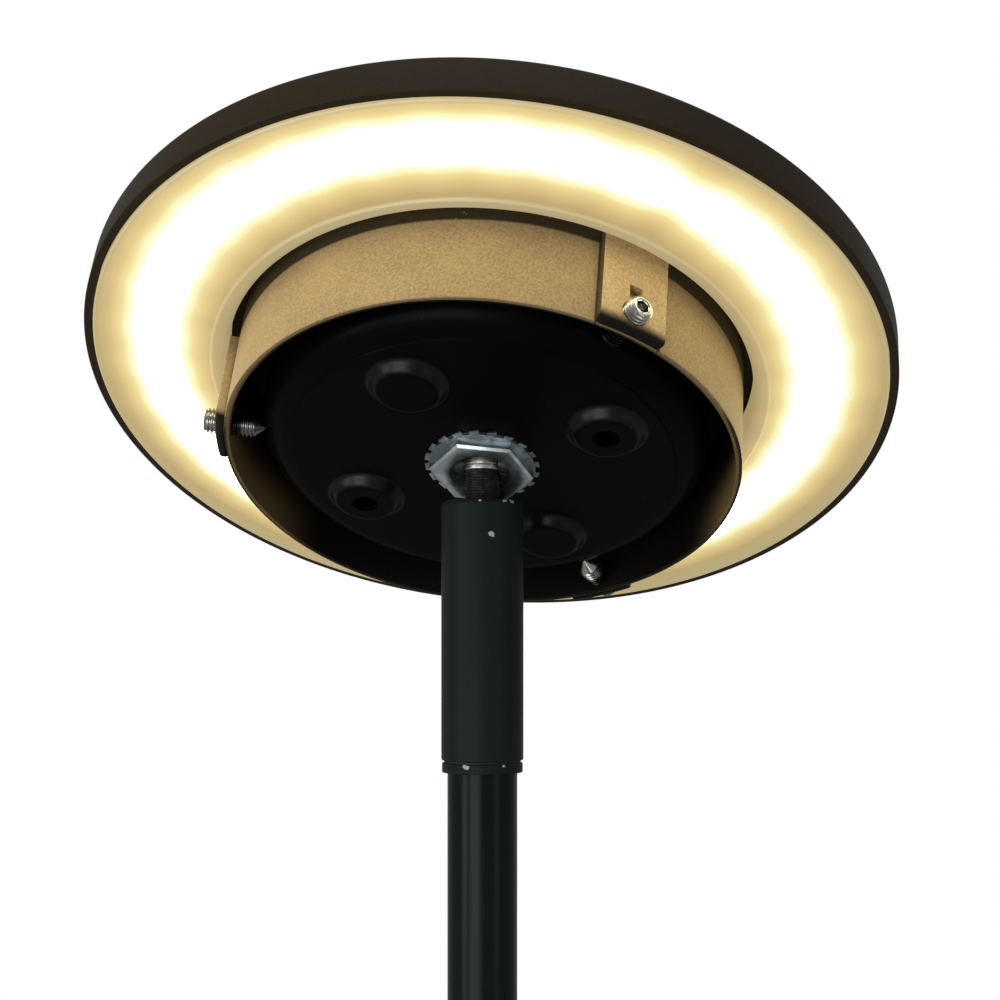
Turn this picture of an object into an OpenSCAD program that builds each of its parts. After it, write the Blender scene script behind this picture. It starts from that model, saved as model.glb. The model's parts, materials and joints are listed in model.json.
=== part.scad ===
// Garden spike light: a ring lamp head on a tilting knuckle, a tube pole and a ground spike.
// The ground line is at z = 0 and the pole runs along Z. The head's own frame has its origin
// at the knuckle's pivot, with Z along the head's axis, and leans about X by the rest tilt.

/* [Lamp head] */
// Diameter of the round shell
shell_d = 200; // [180:1:230]
// Height of the shell's rim wall
shell_h = 10.5; // [9:0.5:16]
// Wall of the shell
shell_wall = 2; // [1.5:0.1:3]
// Rounding of the shell's upper edge
shell_edge_r = 2; // [0.5:0.5:4]
// Rise of the shell's middle above its rim
crown_rise = 3; // [1:0.5:8]
// Diameter of the raised flat middle
crown_d = 120; // [112:1:160]

/* [Light ring] */
// Thickness of the diffuser's face at its edges
diffuser_t = 2; // [1.5:0.1:3]
// How far the diffuser's lips stand below the shell's rim
diffuser_stand = 0.5; // [0:0.1:1.5]
// Width of the raised lip at each edge of the diffuser
lip_w = 2.4; // [1.5:0.1:4]
// Height of the lips above the diffuser's face
lip_h = 0.6; // [0.3:0.1:1]
// Rounding of the diffuser's inner edge
inner_round_r = 3; // [1:0.5:3.5]
// Wall of the diffuser's skirts
skirt_t = 1.5; // [1:0.1:2.5]
// Thickness of the two diffuser seals
seal_t = 1; // [0.6:0.1:2]
// Thickness of the LED board
board_t = 1.6; // [1:0.1:2]
// Number of LEDs round the ring
led_count = 36; // [24:1:44]
// Side of one LED
led_w = 5; // [3:0.5:6]
// Height of one LED
led_t = 0.9; // [0.5:0.1:1.5]
// Number of screws in the LED board
board_screw_count = 6; // [4:1:8]

/* [Drum] */
// Outer diameter of the drum
drum_d = 125.6; // [118:0.2:132]
// Wall of the drum
drum_wall = 1.5; // [1:0.1:2.5]
// How far the drum's rim hangs below the shell's rim
drum_drop = 22.1; // [20:0.1:30]
// Width of the drum's inner top flange
flange_w = 8; // [7:0.5:9]
// Thickness of the drum's flange
flange_t = 2; // [1.5:0.1:3]
// Number of screws in the drum's flange
flange_screw_count = 4; // [3:1:6]
// Gap between the drum and the diffuser's inner edge
ring_gap = 2.4; // [2.4:0.1:3]

/* [Brackets and grub screws] */
// Width of a bracket
bracket_w = 16.5; // [12:0.5:22]
// Thickness of a bracket
bracket_t = 2.2; // [2.1:0.1:2.3]
// How far a bracket's foot hangs below the drum's rim
bracket_hang = 0.3; // [0.1:0.1:2]
// Rounding of a bracket's lower outer edge
bracket_edge_r = 2; // [0.5:0.1:2]
// Width of the slot above the screw
slot_w = 3.2; // [2:0.1:5]
// Height of the slot above the screw
slot_h = 3.6; // [2:0.1:5]
// Diameter of a grub screw
grub_d = 6; // [5:0.1:7]
// Length of a grub screw
grub_l = 15; // [13:0.5:20]
// Length of its cone point
grub_cone = 2.8; // [2:0.1:4]
// Hex socket, across flats
grub_key = 3; // [2:0.5:3.5]
// Height of the grub screws above the drum's rim
grub_rise = 4.6; // [4.2:0.1:8]

/* [Canopy] */
// Outer diameter of the canopy
canopy_d = 109; // [100:0.5:112]
// Height of the canopy
canopy_h = 22; // [18:0.5:24]
// Sheet thickness of the canopy
canopy_wall = 1.5; // [1:0.1:2]
// Diameter of the raised flat face
face_d = 94; // [90:0.5:96]
// Height of the step round the face
face_step = 0.5; // [0.3:0.1:1]
// Radius of the canopy's shoulder
shoulder_r = 7.5; // [7.5:0.5:10]
// Depth of the face inside the drum's rim
face_inset = 1.3; // [0.5:0.1:4]
// Radius of the circle of bosses
boss_circle = 34; // [30:0.5:36]
// Diameter of a boss at its root
boss_root_d = 18.8; // [14:0.2:20]
// Diameter of a boss at its top
boss_top_d = 14.8; // [11:0.2:15]
// Height of a boss
boss_h = 2.6; // [1.5:0.1:3.5]
// Diameter of the hole in every second boss
boss_hole_d = 6.5; // [4:0.1:8]
// Direction of the first boss, about the head's axis
boss_turn = 68; // [0:1:89]

/* [Swivel] */
// Lean of the head at rest, from level
rest_tilt = 30; // [20:1:30]
// Diameter of the bright knuckle on the stud's top
knuckle_d = 9; // [8.8:0.1:9.6]
// Width across the knuckle's two flats
knuckle_w = 8.6; // [8.4:0.1:8.7]
// How far the knuckle reaches below its pivot
knuckle_drop = 1.7; // [1.6:0.1:2.4]
// Diameter of the threaded stud below the knuckle
thread_d = 8.4; // [8.2:0.1:8.4]
// Diameter of the two pivot pins
pin_d = 3; // [2:0.1:3]
// Diameter of the stud's tail below its ledge
tail_d = 8; // [7:0.1:8]
// Depth of the stud's ledge inside the sleeve's top
ledge_depth = 4; // [2:0.5:5]
// Wire way through the stud
stud_bore = 4.6; // [3:0.1:5]
// From the pivot to the nut's face
mouth_drop = 3.6; // [3.2:0.1:4]
// Wall of the socket round its mouth
socket_wall = 1.5; // [1.2:0.1:2.5]
// Wall of the hex nut between thread and flats
nut_wall = 2; // [1.8:0.1:4]
// Turn of the nut's corners from the tilt axis
nut_turn = 11; // [0:1:30]
// Thickness of the hex nut
nut_t = 2.6; // [2.4:0.1:3]
// Thickness of the nut's lip under the socket
nut_lip_t = 0.9; // [0.6:0.1:1]
// Bevel round the nut's face
nut_bevel = 0.6; // [0.3:0.1:1]
// Thickness of the lock washer
lock_t = 0.8; // [0.5:0.1:1]
// Number of teeth on the lock washer
lock_teeth = 20; // [12:1:24]
// Length of the lock washer's teeth
tooth_l = 1; // [0.6:0.1:2]
// Thickness of a tooth
tooth_t = 0.35; // [0.2:0.05:0.4]
// Thickness of the socket's flange inside the canopy
socket_flange_t = 3; // [2:0.1:4]
// Depth of the socket cap's thread
cap_t = 2.9; // [2:0.1:5]
// Thickness of the socket cap's rim
cap_rim_t = 1.5; // [1:0.1:3]

/* [Pole] */
// Height of the pivot above the ground
pivot_z = 540; // [400:5:800]
// Diameter of the pole tube
tube_d = 17; // [16:0.1:20]
// Wall of the pole tube
tube_wall = 1.5; // [1:0.1:2]
// Wall of the sleeve round the tube
sleeve_wall = 1.4; // [1.2:0.1:2.5]
// Length of the sleeve
sleeve_l = 63; // [55:1:90]
// Thickness of the sleeve's closed top
sleeve_top_t = 9; // [6:0.5:12]
// Rounding of the sleeve's top edge
sleeve_edge_r = 1.3; // [0.5:0.1:2]
// Height of the dark groove under the sleeve
groove_h = 0.5; // [0.3:0.1:1.5]
// Depth of the groove
groove_depth = 0.7; // [0.4:0.1:1]
// Height of the collar ring
collar_h = 2.4; // [2:0.1:6]
// Wall of the collar ring
collar_wall = 1.3; // [1.2:0.1:2.5]
// Stud nut, across flats
stud_nut_af = 13; // [12:0.5:14.5]
// Thickness of the stud nut
stud_nut_t = 5; // [4:0.5:6]
// Thickness of the stud's friction washer
stud_washer_t = 1; // [0.5:0.1:2]
// Diameter of the pole screws
pole_screw_d = 4; // [3:0.5:5]

/* [Ground spike] */
// Diameter of the ground flange
flange_d = 56; // [46:1:80]
// Thickness of the ground flange
ground_flange_t = 4; // [3:0.5:6]
// Height of the hub above the ground
hub_h = 44; // [40:1:60]
// Wall of the hub at its top
hub_wall = 3.5; // [2.5:0.5:6]
// Extra radius of the hub at its foot
hub_flare = 2; // [0:0.5:4]
// Floor of the hub's socket above the ground
hub_floor = 6; // [5:0.5:8]
// Height of the cable outlet above the ground
outlet_z = 16; // [15:0.5:18]
// Bore of the cable grommet
grommet_bore = 6.4; // [5:0.1:7]
// Rubber thickness of the grommet
grommet_wall = 1.3; // [1:0.1:2]
// Diameter of the hub's screws
hub_screw_d = 5; // [4:0.5:6]
// Diameter of the plug that the spike takes
plug_d = 20; // [18:0.5:26]
// Length of the plug
plug_l = 20; // [18:1:30]
// Wall of the spike's socket
spike_wall = 4; // [3:0.5:6]
// Length of the spike below the ground
spike_l = 190; // [140:5:260]
// Width across two fins at the top of the blade
blade_w = 40; // [32:1:60]
// Thickness of a fin
fin_t = 3.5; // [2.5:0.5:6]
// Diameter of the cross bolt
bolt_d = 5; // [4:0.5:6]

/* [Hidden] */
$fn = 96;

// Clearances: parts that slide together, turning fits, and an overshoot for cuts
slide_gap = 0.2;
turn_gap = 0.06;
swing_gap = 0.25;
cut = 1;

// Swivel: the stud's swing sets the mouth, the socket, the thread and the nut
stud_r = knuckle_d / 2;
stud_thread_r = thread_d / 2;
function swing_r(drop) = drop * tan(rest_tilt) + stud_r / cos(rest_tilt) + swing_gap;
mouth_r = swing_r(mouth_drop);
thread_r = mouth_r + socket_wall;
nut_af = 2 * (thread_r + nut_wall);
nut_corner_r = nut_af / 2 / cos(30);
nut_side_r = nut_corner_r * cos(30 - nut_turn);
nut_chamfer = 0.6;
socket_end = mouth_drop - nut_lip_t - slide_gap;
pocket_r = swing_r(socket_end);
pin_low = stud_bore / 2 + 0.3;
pin_high = thread_r - 0.3;
pad_r = socket_end - 0.1;
lock_ring_w = 4;
lock_body_r = thread_r + lock_ring_w;
lock_r = lock_body_r + tooth_l;
tooth_w = 0.55 * 2 * PI * lock_body_r / lock_teeth;
tooth_twist = asin((lock_t - tooth_t) / tooth_w) - 0.5;
socket_flange_r = thread_r + 4.5;
socket_body_r = pocket_r + 2.5;
cap_low_z = stud_r + 1;
socket_top_z = cap_low_z + cap_t;
wire_way_r = 3.2;

// Canopy, from the nut's face upward
face_z = nut_t + lock_t - mouth_drop;
canopy_r = canopy_d / 2;
face_r = face_d / 2;
canopy_top_z = face_z + canopy_h;
shoulder_w = canopy_r - face_r;
shoulder_h = sqrt(2 * shoulder_r * shoulder_w - shoulder_w * shoulder_w);
shoulder_z = face_z + face_step + shoulder_h;
boss_count = 4;
boss_draw = 0.7;

// Shell, diffuser and drum, set by the drum's rim
rim_z = face_z - face_inset;
ring_z = rim_z + drum_drop;
shell_r = shell_d / 2;
plate_z = ring_z + shell_h - shell_wall;
drum_r = drum_d / 2;
drum_in_r = drum_r - drum_wall;
ring_out_r = shell_r - shell_wall - slide_gap;
ring_in_r = drum_r + ring_gap;
ring_low_z = ring_z - diffuser_stand;
skirt_top_z = plate_z - seal_t;
board_out_r = ring_out_r - skirt_t - slide_gap;
board_in_r = ring_in_r + skirt_t + slide_gap;
led_circle = (ring_out_r + ring_in_r) / 2;
face_bulge = 0.5;

// Screws inside the head
small_screw_d = 3;
small_head_d = 5.4;
small_head_t = 1.8;
thread_depth = shell_wall - 0.4;
board_screw_circle = board_in_r + small_head_d / 2 + 2;
flange_screw_circle = drum_in_r - flange_w / 2 + 0.5;

// Brackets and grub screws, at their directions about the head's axis
bracket_turns = [68, 193, 309];
grub_r = grub_d / 2;
grub_z = rim_z + grub_rise;
shoulder_drop = max(0, shoulder_z - grub_z);
shoulder_here = canopy_r - shoulder_r + sqrt(max(0, pow(shoulder_r, 2) - pow(shoulder_drop, 2)));
grub_tip_r = shoulder_here + 0.12;
grub_tip_d = 0.6;
grub_key_depth = 3.5;
bracket_top_z = ring_z + 2.5;
bracket_low_z = rim_z - bracket_hang;
bracket_corner_r = 2;
slot_gap = 0.8;

// Driver and terminal block inside the canopy
driver_size = [50, 20, 15];
driver_offset = 28;
terminal_size = [22, 14, 12];
terminal_offset = 30;
terminal_ways = 3;
pad_t = 1;
pad_inset = 1;
canopy_floor_z = face_z + canopy_wall;

// Pole, down from the pivot
function drop_at(low, out) = low * cos(rest_tilt) + out * sin(rest_tilt);
nut_reach = max(
    drop_at(mouth_drop, nut_side_r - nut_bevel), drop_at(mouth_drop - nut_bevel, nut_side_r),
    drop_at(mouth_drop - nut_t, lock_r)
);
sleeve_top_z = pivot_z - nut_reach - 0.4;
sleeve_low_z = sleeve_top_z - sleeve_l;
sleeve_wall_z = sleeve_top_z - sleeve_top_t;
tube_r = tube_d / 2;
tube_in_r = tube_r - tube_wall;
sleeve_in_r = tube_r + slide_gap / 2;
sleeve_r = sleeve_in_r + sleeve_wall;
sleeve_foot_r = 0.5;
stud_nut_z = sleeve_wall_z - stud_washer_t - stud_nut_t;
stud_end_z = stud_nut_z - 2;
tail_r = tail_d / 2;
ledge_z = sleeve_top_z - ledge_depth;
stud_washer_r = sleeve_in_r - 0.5;
tube_top_z = stud_end_z - 2;
collar_top_z = sleeve_low_z - groove_h;
collar_low_z = collar_top_z - collar_h;
collar_in_r = tube_r + 0.03;
collar_r = collar_in_r + collar_wall;
pole_screw_l = sleeve_r - tube_in_r - 0.2;
pole_screw_zs = [sleeve_low_z + 12, sleeve_low_z + 30];

// Hub and spike
hub_top_r = tube_r + slide_gap / 2 + hub_wall;
hub_foot_r = hub_top_r + hub_flare;
hub_bore_r = tube_r + slide_gap / 2;
grommet_r = grommet_bore / 2 + grommet_wall;
grommet_rim_t = 1.6;
grommet_out_r = grommet_r + 1.6;
hub_screw_z = hub_h - 10;
plug_r = plug_d / 2;
spike_bore_r = plug_r + slide_gap / 2;
spike_top_r = spike_bore_r + spike_wall;
spike_socket_l = plug_l + 5;
bolt_z = -plug_l / 2 - 1;
bolt_head_d = 1.7 * bolt_d;
bolt_head_t = 0.6 * bolt_d;
blade_top_z = -spike_socket_l + 6;
blade_step_z = -spike_socket_l - 10;
fin_tip_w = 3;

// Puts its children in the leaning head
module in_head() {
    translate([0, 0, pivot_z]) rotate([-rest_tilt, 0, 0]) children();
}

// Copies its children round the Z axis
module ring_of(count, turn = 0) {
    for (i = [0 : count - 1]) rotate([0, 0, turn + 360 / count * i]) children();
}

// Copies its children to each bracket's direction
module at_brackets() {
    for (turn = bracket_turns) rotate([0, 0, turn]) children();
}

// A tube along Z
module pipe(outer, inner, low, high) {
    difference() {
        translate([0, 0, low]) cylinder(r = outer, h = high - low);
        translate([0, 0, low - cut]) cylinder(r = inner, h = high - low + 2 * cut);
    }
}

// A rectangle with round corners, about the origin
module round_rect(w, d, r) {
    square([w - 2 * r, d], center = true);
    square([w, d - 2 * r], center = true);
    for (x = [-1, 1], y = [-1, 1]) translate([x * (w / 2 - r), y * (d / 2 - r)]) circle(r = r);
}

// A pan-head screw that points up, with its head's seat at z = 0
module pan_screw(shank_l) {
    cylinder(d = small_screw_d, h = shank_l);
    difference() {
        translate([0, 0, -small_head_t]) cylinder(d1 = small_head_d - 1.2, d2 = small_head_d, h = small_head_t);
        for (a = [0, 90]) rotate([0, 0, a]) translate([-1.4, -0.3, -small_head_t - cut]) cube([2.8, 0.6, cut + 0.9]);
    }
}

// Shell: a disc with a raised middle, a rim wall and a rounded upper edge
module shell_profile() {
    top_z = ring_z + shell_h;
    recess_r = drum_in_r - flange_w - slide_gap;
    difference() {
        union() {
            translate([0, ring_z]) square([shell_r, shell_h - shell_edge_r]);
            translate([0, ring_z]) square([shell_r - shell_edge_r, shell_h]);
            translate([shell_r - shell_edge_r, top_z - shell_edge_r]) circle(r = shell_edge_r);
            polygon([
                [0, top_z - cut], [shell_r - shell_edge_r, top_z - cut], [shell_r - shell_edge_r, top_z],
                [crown_d / 2, top_z + crown_rise], [0, top_z + crown_rise]
            ]);
        }
        translate([0, ring_z - cut]) square([shell_r - shell_wall, plate_z - ring_z + cut]);
        polygon([
            [0, plate_z - cut], [recess_r, plate_z - cut], [recess_r, plate_z],
            [recess_r - crown_rise, plate_z + crown_rise], [0, plate_z + crown_rise]
        ]);
    }
}

module shell() {
    color("#1b1816") in_head() difference() {
        rotate_extrude() shell_profile();
        ring_of(board_screw_count) translate([board_screw_circle, 0, plate_z - cut])
            cylinder(d = small_screw_d, h = thread_depth + cut);
        ring_of(flange_screw_count, 45) translate([flange_screw_circle, 0, plate_z - cut])
            cylinder(d = small_screw_d, h = thread_depth + cut);
    }
}

module led_board() {
    color("#e8e6dc") in_head() difference() {
        pipe(board_out_r, board_in_r, plate_z - board_t, plate_z);
        ring_of(board_screw_count) translate([board_screw_circle, 0, plate_z - board_t - cut])
            cylinder(d = small_screw_d + slide_gap, h = board_t + 2 * cut);
    }
}

module leds() {
    color("#f4d470") in_head() ring_of(led_count) translate([led_circle, 0, plate_z - board_t - led_t])
        linear_extrude(led_t) square(led_w, center = true);
}

module board_screws() {
    color("#b9bcc0") in_head() ring_of(board_screw_count)
        translate([board_screw_circle, 0, plate_z - board_t]) pan_screw(board_t + thread_depth);
}

// Diffuser: a ring trough with a bulged face, raised lips, two skirts and a round inner edge
module diffuser_half() {
    half_w = (ring_out_r - ring_in_r) / 2 - lip_w;
    bulge_r = (half_w * half_w + face_bulge * face_bulge) / (2 * face_bulge);
    face_low_z = ring_low_z + lip_h;
    difference() {
        translate([ring_in_r, ring_low_z]) square([ring_out_r - ring_in_r, diffuser_t]);
        translate([led_circle - half_w, ring_low_z - cut]) square([2 * half_w, lip_h + cut]);
    }
    intersection() {
        translate([led_circle, face_low_z - face_bulge + bulge_r]) circle(r = bulge_r, $fn = 720);
        translate([led_circle - half_w, face_low_z - face_bulge - cut]) square([2 * half_w, face_bulge + 2 * cut]);
    }
    translate([ring_in_r, ring_low_z]) square([skirt_t, skirt_top_z - ring_low_z]);
    translate([ring_out_r - skirt_t, ring_low_z]) square([skirt_t, skirt_top_z - ring_low_z]);
    translate([ring_in_r, ring_low_z]) square(inner_round_r);
}

module diffuser() {
    color("#f7efd6") in_head() rotate_extrude() difference() {
        diffuser_half();
        difference() {
            translate([ring_in_r - cut, ring_low_z - cut]) square(inner_round_r + cut);
            translate([ring_in_r + inner_round_r, ring_low_z + inner_round_r]) circle(r = inner_round_r);
        }
    }
}

module outer_seal() {
    color("#3a3a38") in_head() pipe(ring_out_r, ring_out_r - skirt_t, skirt_top_z, plate_z);
}

module inner_seal() {
    color("#3a3a38") in_head() pipe(ring_in_r + skirt_t, ring_in_r, skirt_top_z, plate_z);
}

// Drum: an open cylinder with an inner flange at its top
module drum() {
    color("#4a3d2c") in_head() difference() {
        union() {
            pipe(drum_r, drum_in_r, rim_z, plate_z);
            pipe(drum_r - drum_wall / 2, drum_in_r - flange_w, plate_z - flange_t, plate_z);
        }
        ring_of(flange_screw_count, 45) translate([flange_screw_circle, 0, plate_z - flange_t - cut])
            cylinder(d = small_screw_d + slide_gap, h = flange_t + 2 * cut);
        at_brackets() translate([0, 0, grub_z]) rotate([0, 90, 0])
            cylinder(r = grub_r + turn_gap, h = drum_r + cut);
    }
}

module flange_screws() {
    color("#b9bcc0") in_head() ring_of(flange_screw_count, 45)
        translate([flange_screw_circle, 0, plate_z - flange_t]) pan_screw(flange_t + thread_depth);
}

// Bracket: a rolled plate on the drum with a slot, a threaded hole and a rounded foot
module bracket_section() {
    translate([drum_r, bracket_low_z + bracket_edge_r])
        square([bracket_t, bracket_top_z - bracket_low_z - bracket_edge_r]);
    intersection() {
        translate([drum_r + bracket_t - bracket_edge_r, bracket_low_z + bracket_edge_r]) circle(r = bracket_edge_r);
        translate([drum_r, bracket_low_z]) square([bracket_t, 2 * bracket_edge_r]);
    }
    translate([drum_r, bracket_low_z]) square([bracket_t - bracket_edge_r, 2 * bracket_edge_r]);
}

module bracket_outline() {
    high = bracket_top_z - bracket_low_z;
    translate([bracket_low_z, -bracket_w / 2]) difference() {
        union() {
            translate([bracket_corner_r, 0]) square([high - bracket_corner_r, bracket_w]);
            translate([0, bracket_corner_r]) square([high, bracket_w - 2 * bracket_corner_r]);
            for (y = [bracket_corner_r, bracket_w - bracket_corner_r])
                translate([bracket_corner_r, y]) circle(r = bracket_corner_r);
        }
        translate([grub_z - bracket_low_z + grub_r + slot_gap, (bracket_w - slot_w) / 2]) square([slot_h, slot_w]);
    }
}

module bracket(index) {
    in_head() rotate([0, 0, bracket_turns[index]]) difference() {
        intersection() {
            rotate_extrude() bracket_section();
            translate([drum_r / 2, 0, 0]) rotate([0, -90, 180]) linear_extrude(drum_r) bracket_outline();
        }
        translate([0, 0, grub_z]) rotate([0, 90, 0]) cylinder(r = grub_r + turn_gap, h = drum_r + bracket_t + cut);
    }
}

module bracket_1() { color("#4a3d2c") bracket(0); }
module bracket_2() { color("#4a3d2c") bracket(1); }
module bracket_3() { color("#4a3d2c") bracket(2); }

// Grub screw along +X from the canopy's shoulder, with a cone point and a hex socket
module grub_screws() {
    body_l = grub_l - grub_cone;
    color("#cfd1d2") in_head() at_brackets()
        translate([grub_tip_r, 0, grub_z]) rotate([0, 90, 0]) difference() {
            union() {
                cylinder(d1 = grub_tip_d, d2 = grub_d, h = grub_cone);
                translate([0, 0, grub_cone]) cylinder(d = grub_d, h = body_l);
            }
            translate([0, 0, grub_l - grub_key_depth])
                cylinder(d = grub_key / cos(30), h = grub_key_depth + cut, $fn = 6);
        }
}

// Canopy: a stamped cup; the same profile serves for its outside and, one sheet in, its inside
module cup_profile(inset) {
    low_z = face_z + inset;
    union() {
        translate([0, shoulder_z]) square([canopy_r - inset, canopy_top_z - shoulder_z + (inset > 0 ? cut : 0)]);
        intersection() {
            union() {
                translate([canopy_r - shoulder_r, shoulder_z]) circle(r = shoulder_r - inset);
                translate([0, low_z]) square([canopy_r - shoulder_r, shoulder_h + cut]);
            }
            translate([0, low_z + face_step]) square([canopy_r - inset, shoulder_h + cut]);
        }
        translate([0, low_z]) square([face_r - inset, face_step + cut]);
    }
}

module boss(drawn) {
    translate([boss_circle, 0, face_z + drawn - boss_h])
        cylinder(d1 = boss_top_d - 2 * boss_draw * sign(drawn),
                 d2 = boss_root_d - 2 * boss_draw * sign(drawn), h = boss_h);
}

module canopy() {
    color("#17171a") in_head() difference() {
        union() {
            rotate_extrude() difference() {
                cup_profile(0);
                cup_profile(canopy_wall);
            }
            ring_of(boss_count, boss_turn) boss(0);
        }
        ring_of(boss_count, boss_turn) {
            boss(canopy_wall);
            translate([boss_circle, 0, face_z + canopy_wall - 0.01])
                cylinder(d = boss_root_d - 2 * boss_draw, h = 0.02);
        }
        ring_of(boss_count / 2, boss_turn + 90) translate([boss_circle, 0, face_z - boss_h - cut])
            cylinder(d = boss_hole_d, h = boss_h + canopy_wall + 2 * cut);
        translate([0, 0, face_z - cut]) cylinder(r = thread_r + slide_gap / 2, h = canopy_wall + 2 * cut);
    }
}

// Lock washer: a flat ring with twisted teeth on its rim
module lock_washer() {
    color("#c4c8cc") in_head() translate([0, 0, face_z - lock_t]) {
        pipe(lock_body_r, thread_r + turn_gap, 0, lock_t);
        ring_of(lock_teeth) translate([lock_body_r - 0.4, 0, lock_t / 2]) rotate([tooth_twist, 0, 0])
            translate([0, -tooth_w / 2, -tooth_t / 2]) cube([tooth_l + 0.4, tooth_w, tooth_t]);
    }
}

// Hex nut with a bevelled face and a lip under the socket
module hex_nut() {
    bevel_r = nut_corner_r - nut_bevel / cos(30);
    color("#c9ccd0") in_head() translate([0, 0, -mouth_drop]) rotate([0, 0, nut_turn]) difference() {
        intersection() {
            union() {
                translate([0, 0, nut_bevel]) cylinder(r = nut_corner_r, h = nut_t - nut_bevel, $fn = 6);
                cylinder(r1 = bevel_r, r2 = nut_corner_r, h = nut_bevel, $fn = 6);
            }
            rotate_extrude() polygon([
                [0, -cut], [nut_corner_r - nut_chamfer, -cut], [nut_corner_r - nut_chamfer, 0],
                [nut_corner_r, nut_chamfer], [nut_corner_r, nut_t - nut_chamfer],
                [nut_corner_r - nut_chamfer, nut_t], [0, nut_t]
            ]);
        }
        translate([0, 0, nut_lip_t]) cylinder(r = thread_r + turn_gap, h = nut_t);
        rotate_extrude() polygon([
            [0, -cut], [mouth_r, -cut], [mouth_r, 0],
            [swing_r(mouth_drop - nut_lip_t), nut_lip_t], [swing_r(mouth_drop - nut_lip_t), nut_t], [0, nut_t]
        ]);
    }
}

// Swivel socket: a threaded tube with a flange, cross-drilled for the pivot pins
module swivel_socket() {
    flange_z = canopy_floor_z;
    color("#aeb2b6") in_head() difference() {
        union() {
            translate([0, 0, -socket_end]) cylinder(r = thread_r, h = socket_end + flange_z + cut);
            translate([0, 0, flange_z]) cylinder(r = socket_flange_r, h = socket_flange_t);
            translate([0, 0, flange_z]) cylinder(r = socket_body_r, h = socket_top_z - flange_z);
        }
        translate([0, 0, -socket_end - cut]) cylinder(r = pocket_r, h = socket_end + socket_top_z + 2 * cut);
        rotate([0, 90, 0]) cylinder(d = pin_d, h = 2 * thread_r + cut, center = true);
    }
}

// Two pins along X, from the socket's walls into the knuckle's sides
module pivot_pins() {
    color("#8f959b") in_head() ring_of(2) translate([pin_low, 0, 0]) rotate([0, 90, 0])
        cylinder(d = pin_d, h = pin_high - pin_low);
}

// Friction pads: flat against the knuckle, and round against the socket's bore
module friction_pads() {
    color("#202022") in_head() ring_of(2) difference() {
        intersection() {
            rotate([0, 90, 0]) cylinder(r = pad_r, h = pocket_r);
            cylinder(r = pocket_r - turn_gap, h = 2 * pocket_r, center = true);
            translate([knuckle_w / 2 + turn_gap, -pocket_r, -pocket_r]) cube(2 * pocket_r);
        }
        rotate([0, 90, 0]) cylinder(r = pin_d / 2 + turn_gap / 2, h = pocket_r + cut);
    }
}

module socket_cap() {
    color("#aeb2b6") in_head() difference() {
        union() {
            translate([0, 0, cap_low_z]) cylinder(r = pocket_r - turn_gap, h = cap_t + cap_rim_t);
            translate([0, 0, socket_top_z]) cylinder(r = socket_body_r, h = cap_rim_t);
        }
        translate([0, 0, cap_low_z - cut]) cylinder(r = wire_way_r, h = cap_t + cap_rim_t + 2 * cut);
    }
}

module driver() {
    color("#e9e9e6") in_head() rotate([0, 0, boss_turn + 180]) translate([driver_offset, 0, canopy_floor_z + pad_t])
        rotate([0, 0, 90]) difference() {
            linear_extrude(driver_size[2]) round_rect(driver_size[0], driver_size[1], 2);
            for (x = [-1, 1]) translate([x * driver_size[0] / 2, 0, driver_size[2] / 2]) rotate([0, 90, 0])
                cylinder(d = 5, h = 4, center = true);
        }
}

module terminal_block() {
    pitch = terminal_size[0] / terminal_ways;
    color("#efece2") in_head() rotate([0, 0, boss_turn]) translate([terminal_offset, 0, canopy_floor_z + pad_t])
        rotate([0, 0, 90]) difference() {
            linear_extrude(terminal_size[2]) round_rect(terminal_size[0], terminal_size[1], 1);
            for (i = [0 : terminal_ways - 1]) translate([(i - (terminal_ways - 1) / 2) * pitch, 0, 0]) {
                translate([0, 0, 4.5]) rotate([90, 0, 0]) cylinder(d = 4, h = terminal_size[1] + cut, center = true);
                translate([0, 0, 4.5]) cylinder(d = 4, h = terminal_size[2]);
            }
        }
}

module adhesive_pads() {
    color("#55585c") in_head() translate([0, 0, canopy_floor_z]) {
        rotate([0, 0, boss_turn + 180]) translate([driver_offset, 0, 0]) rotate([0, 0, 90])
            linear_extrude(pad_t) round_rect(driver_size[0] - 2 * pad_inset, driver_size[1] - 2 * pad_inset, 1);
        rotate([0, 0, boss_turn]) translate([terminal_offset, 0, 0]) rotate([0, 0, 90])
            linear_extrude(pad_t) round_rect(terminal_size[0] - 2 * pad_inset, terminal_size[1] - 2 * pad_inset, 1);
    }
}

// Swivel stud: a domed knuckle with two flats, a threaded stud and a tail, drilled for the wires
module swivel_stud() {
    end_drop = pivot_z - stud_end_z;
    ledge_drop = pivot_z - ledge_z;
    color("#9ba0a5") translate([0, 0, pivot_z]) difference() {
        union() {
            intersection() {
                union() {
                    sphere(r = stud_r);
                    translate([0, 0, -knuckle_drop]) cylinder(r = stud_r, h = knuckle_drop);
                }
                translate([-knuckle_w / 2, -knuckle_d, -knuckle_drop])
                    cube([knuckle_w, 2 * knuckle_d, 2 * knuckle_d]);
            }
            translate([0, 0, -ledge_drop]) cylinder(r = stud_thread_r, h = ledge_drop - knuckle_drop);
            translate([0, 0, -end_drop]) cylinder(r = tail_r, h = end_drop - knuckle_drop);
        }
        translate([0, 0, -end_drop - cut]) cylinder(d = stud_bore, h = end_drop + knuckle_d);
        rotate([0, 90, 0]) cylinder(r = pin_d / 2 + turn_gap, h = 2 * knuckle_d, center = true);
    }
}

module stud_washer() {
    color("#b9bcc0") pipe(stud_washer_r, tail_r + turn_gap, sleeve_wall_z - stud_washer_t, sleeve_wall_z);
}

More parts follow.
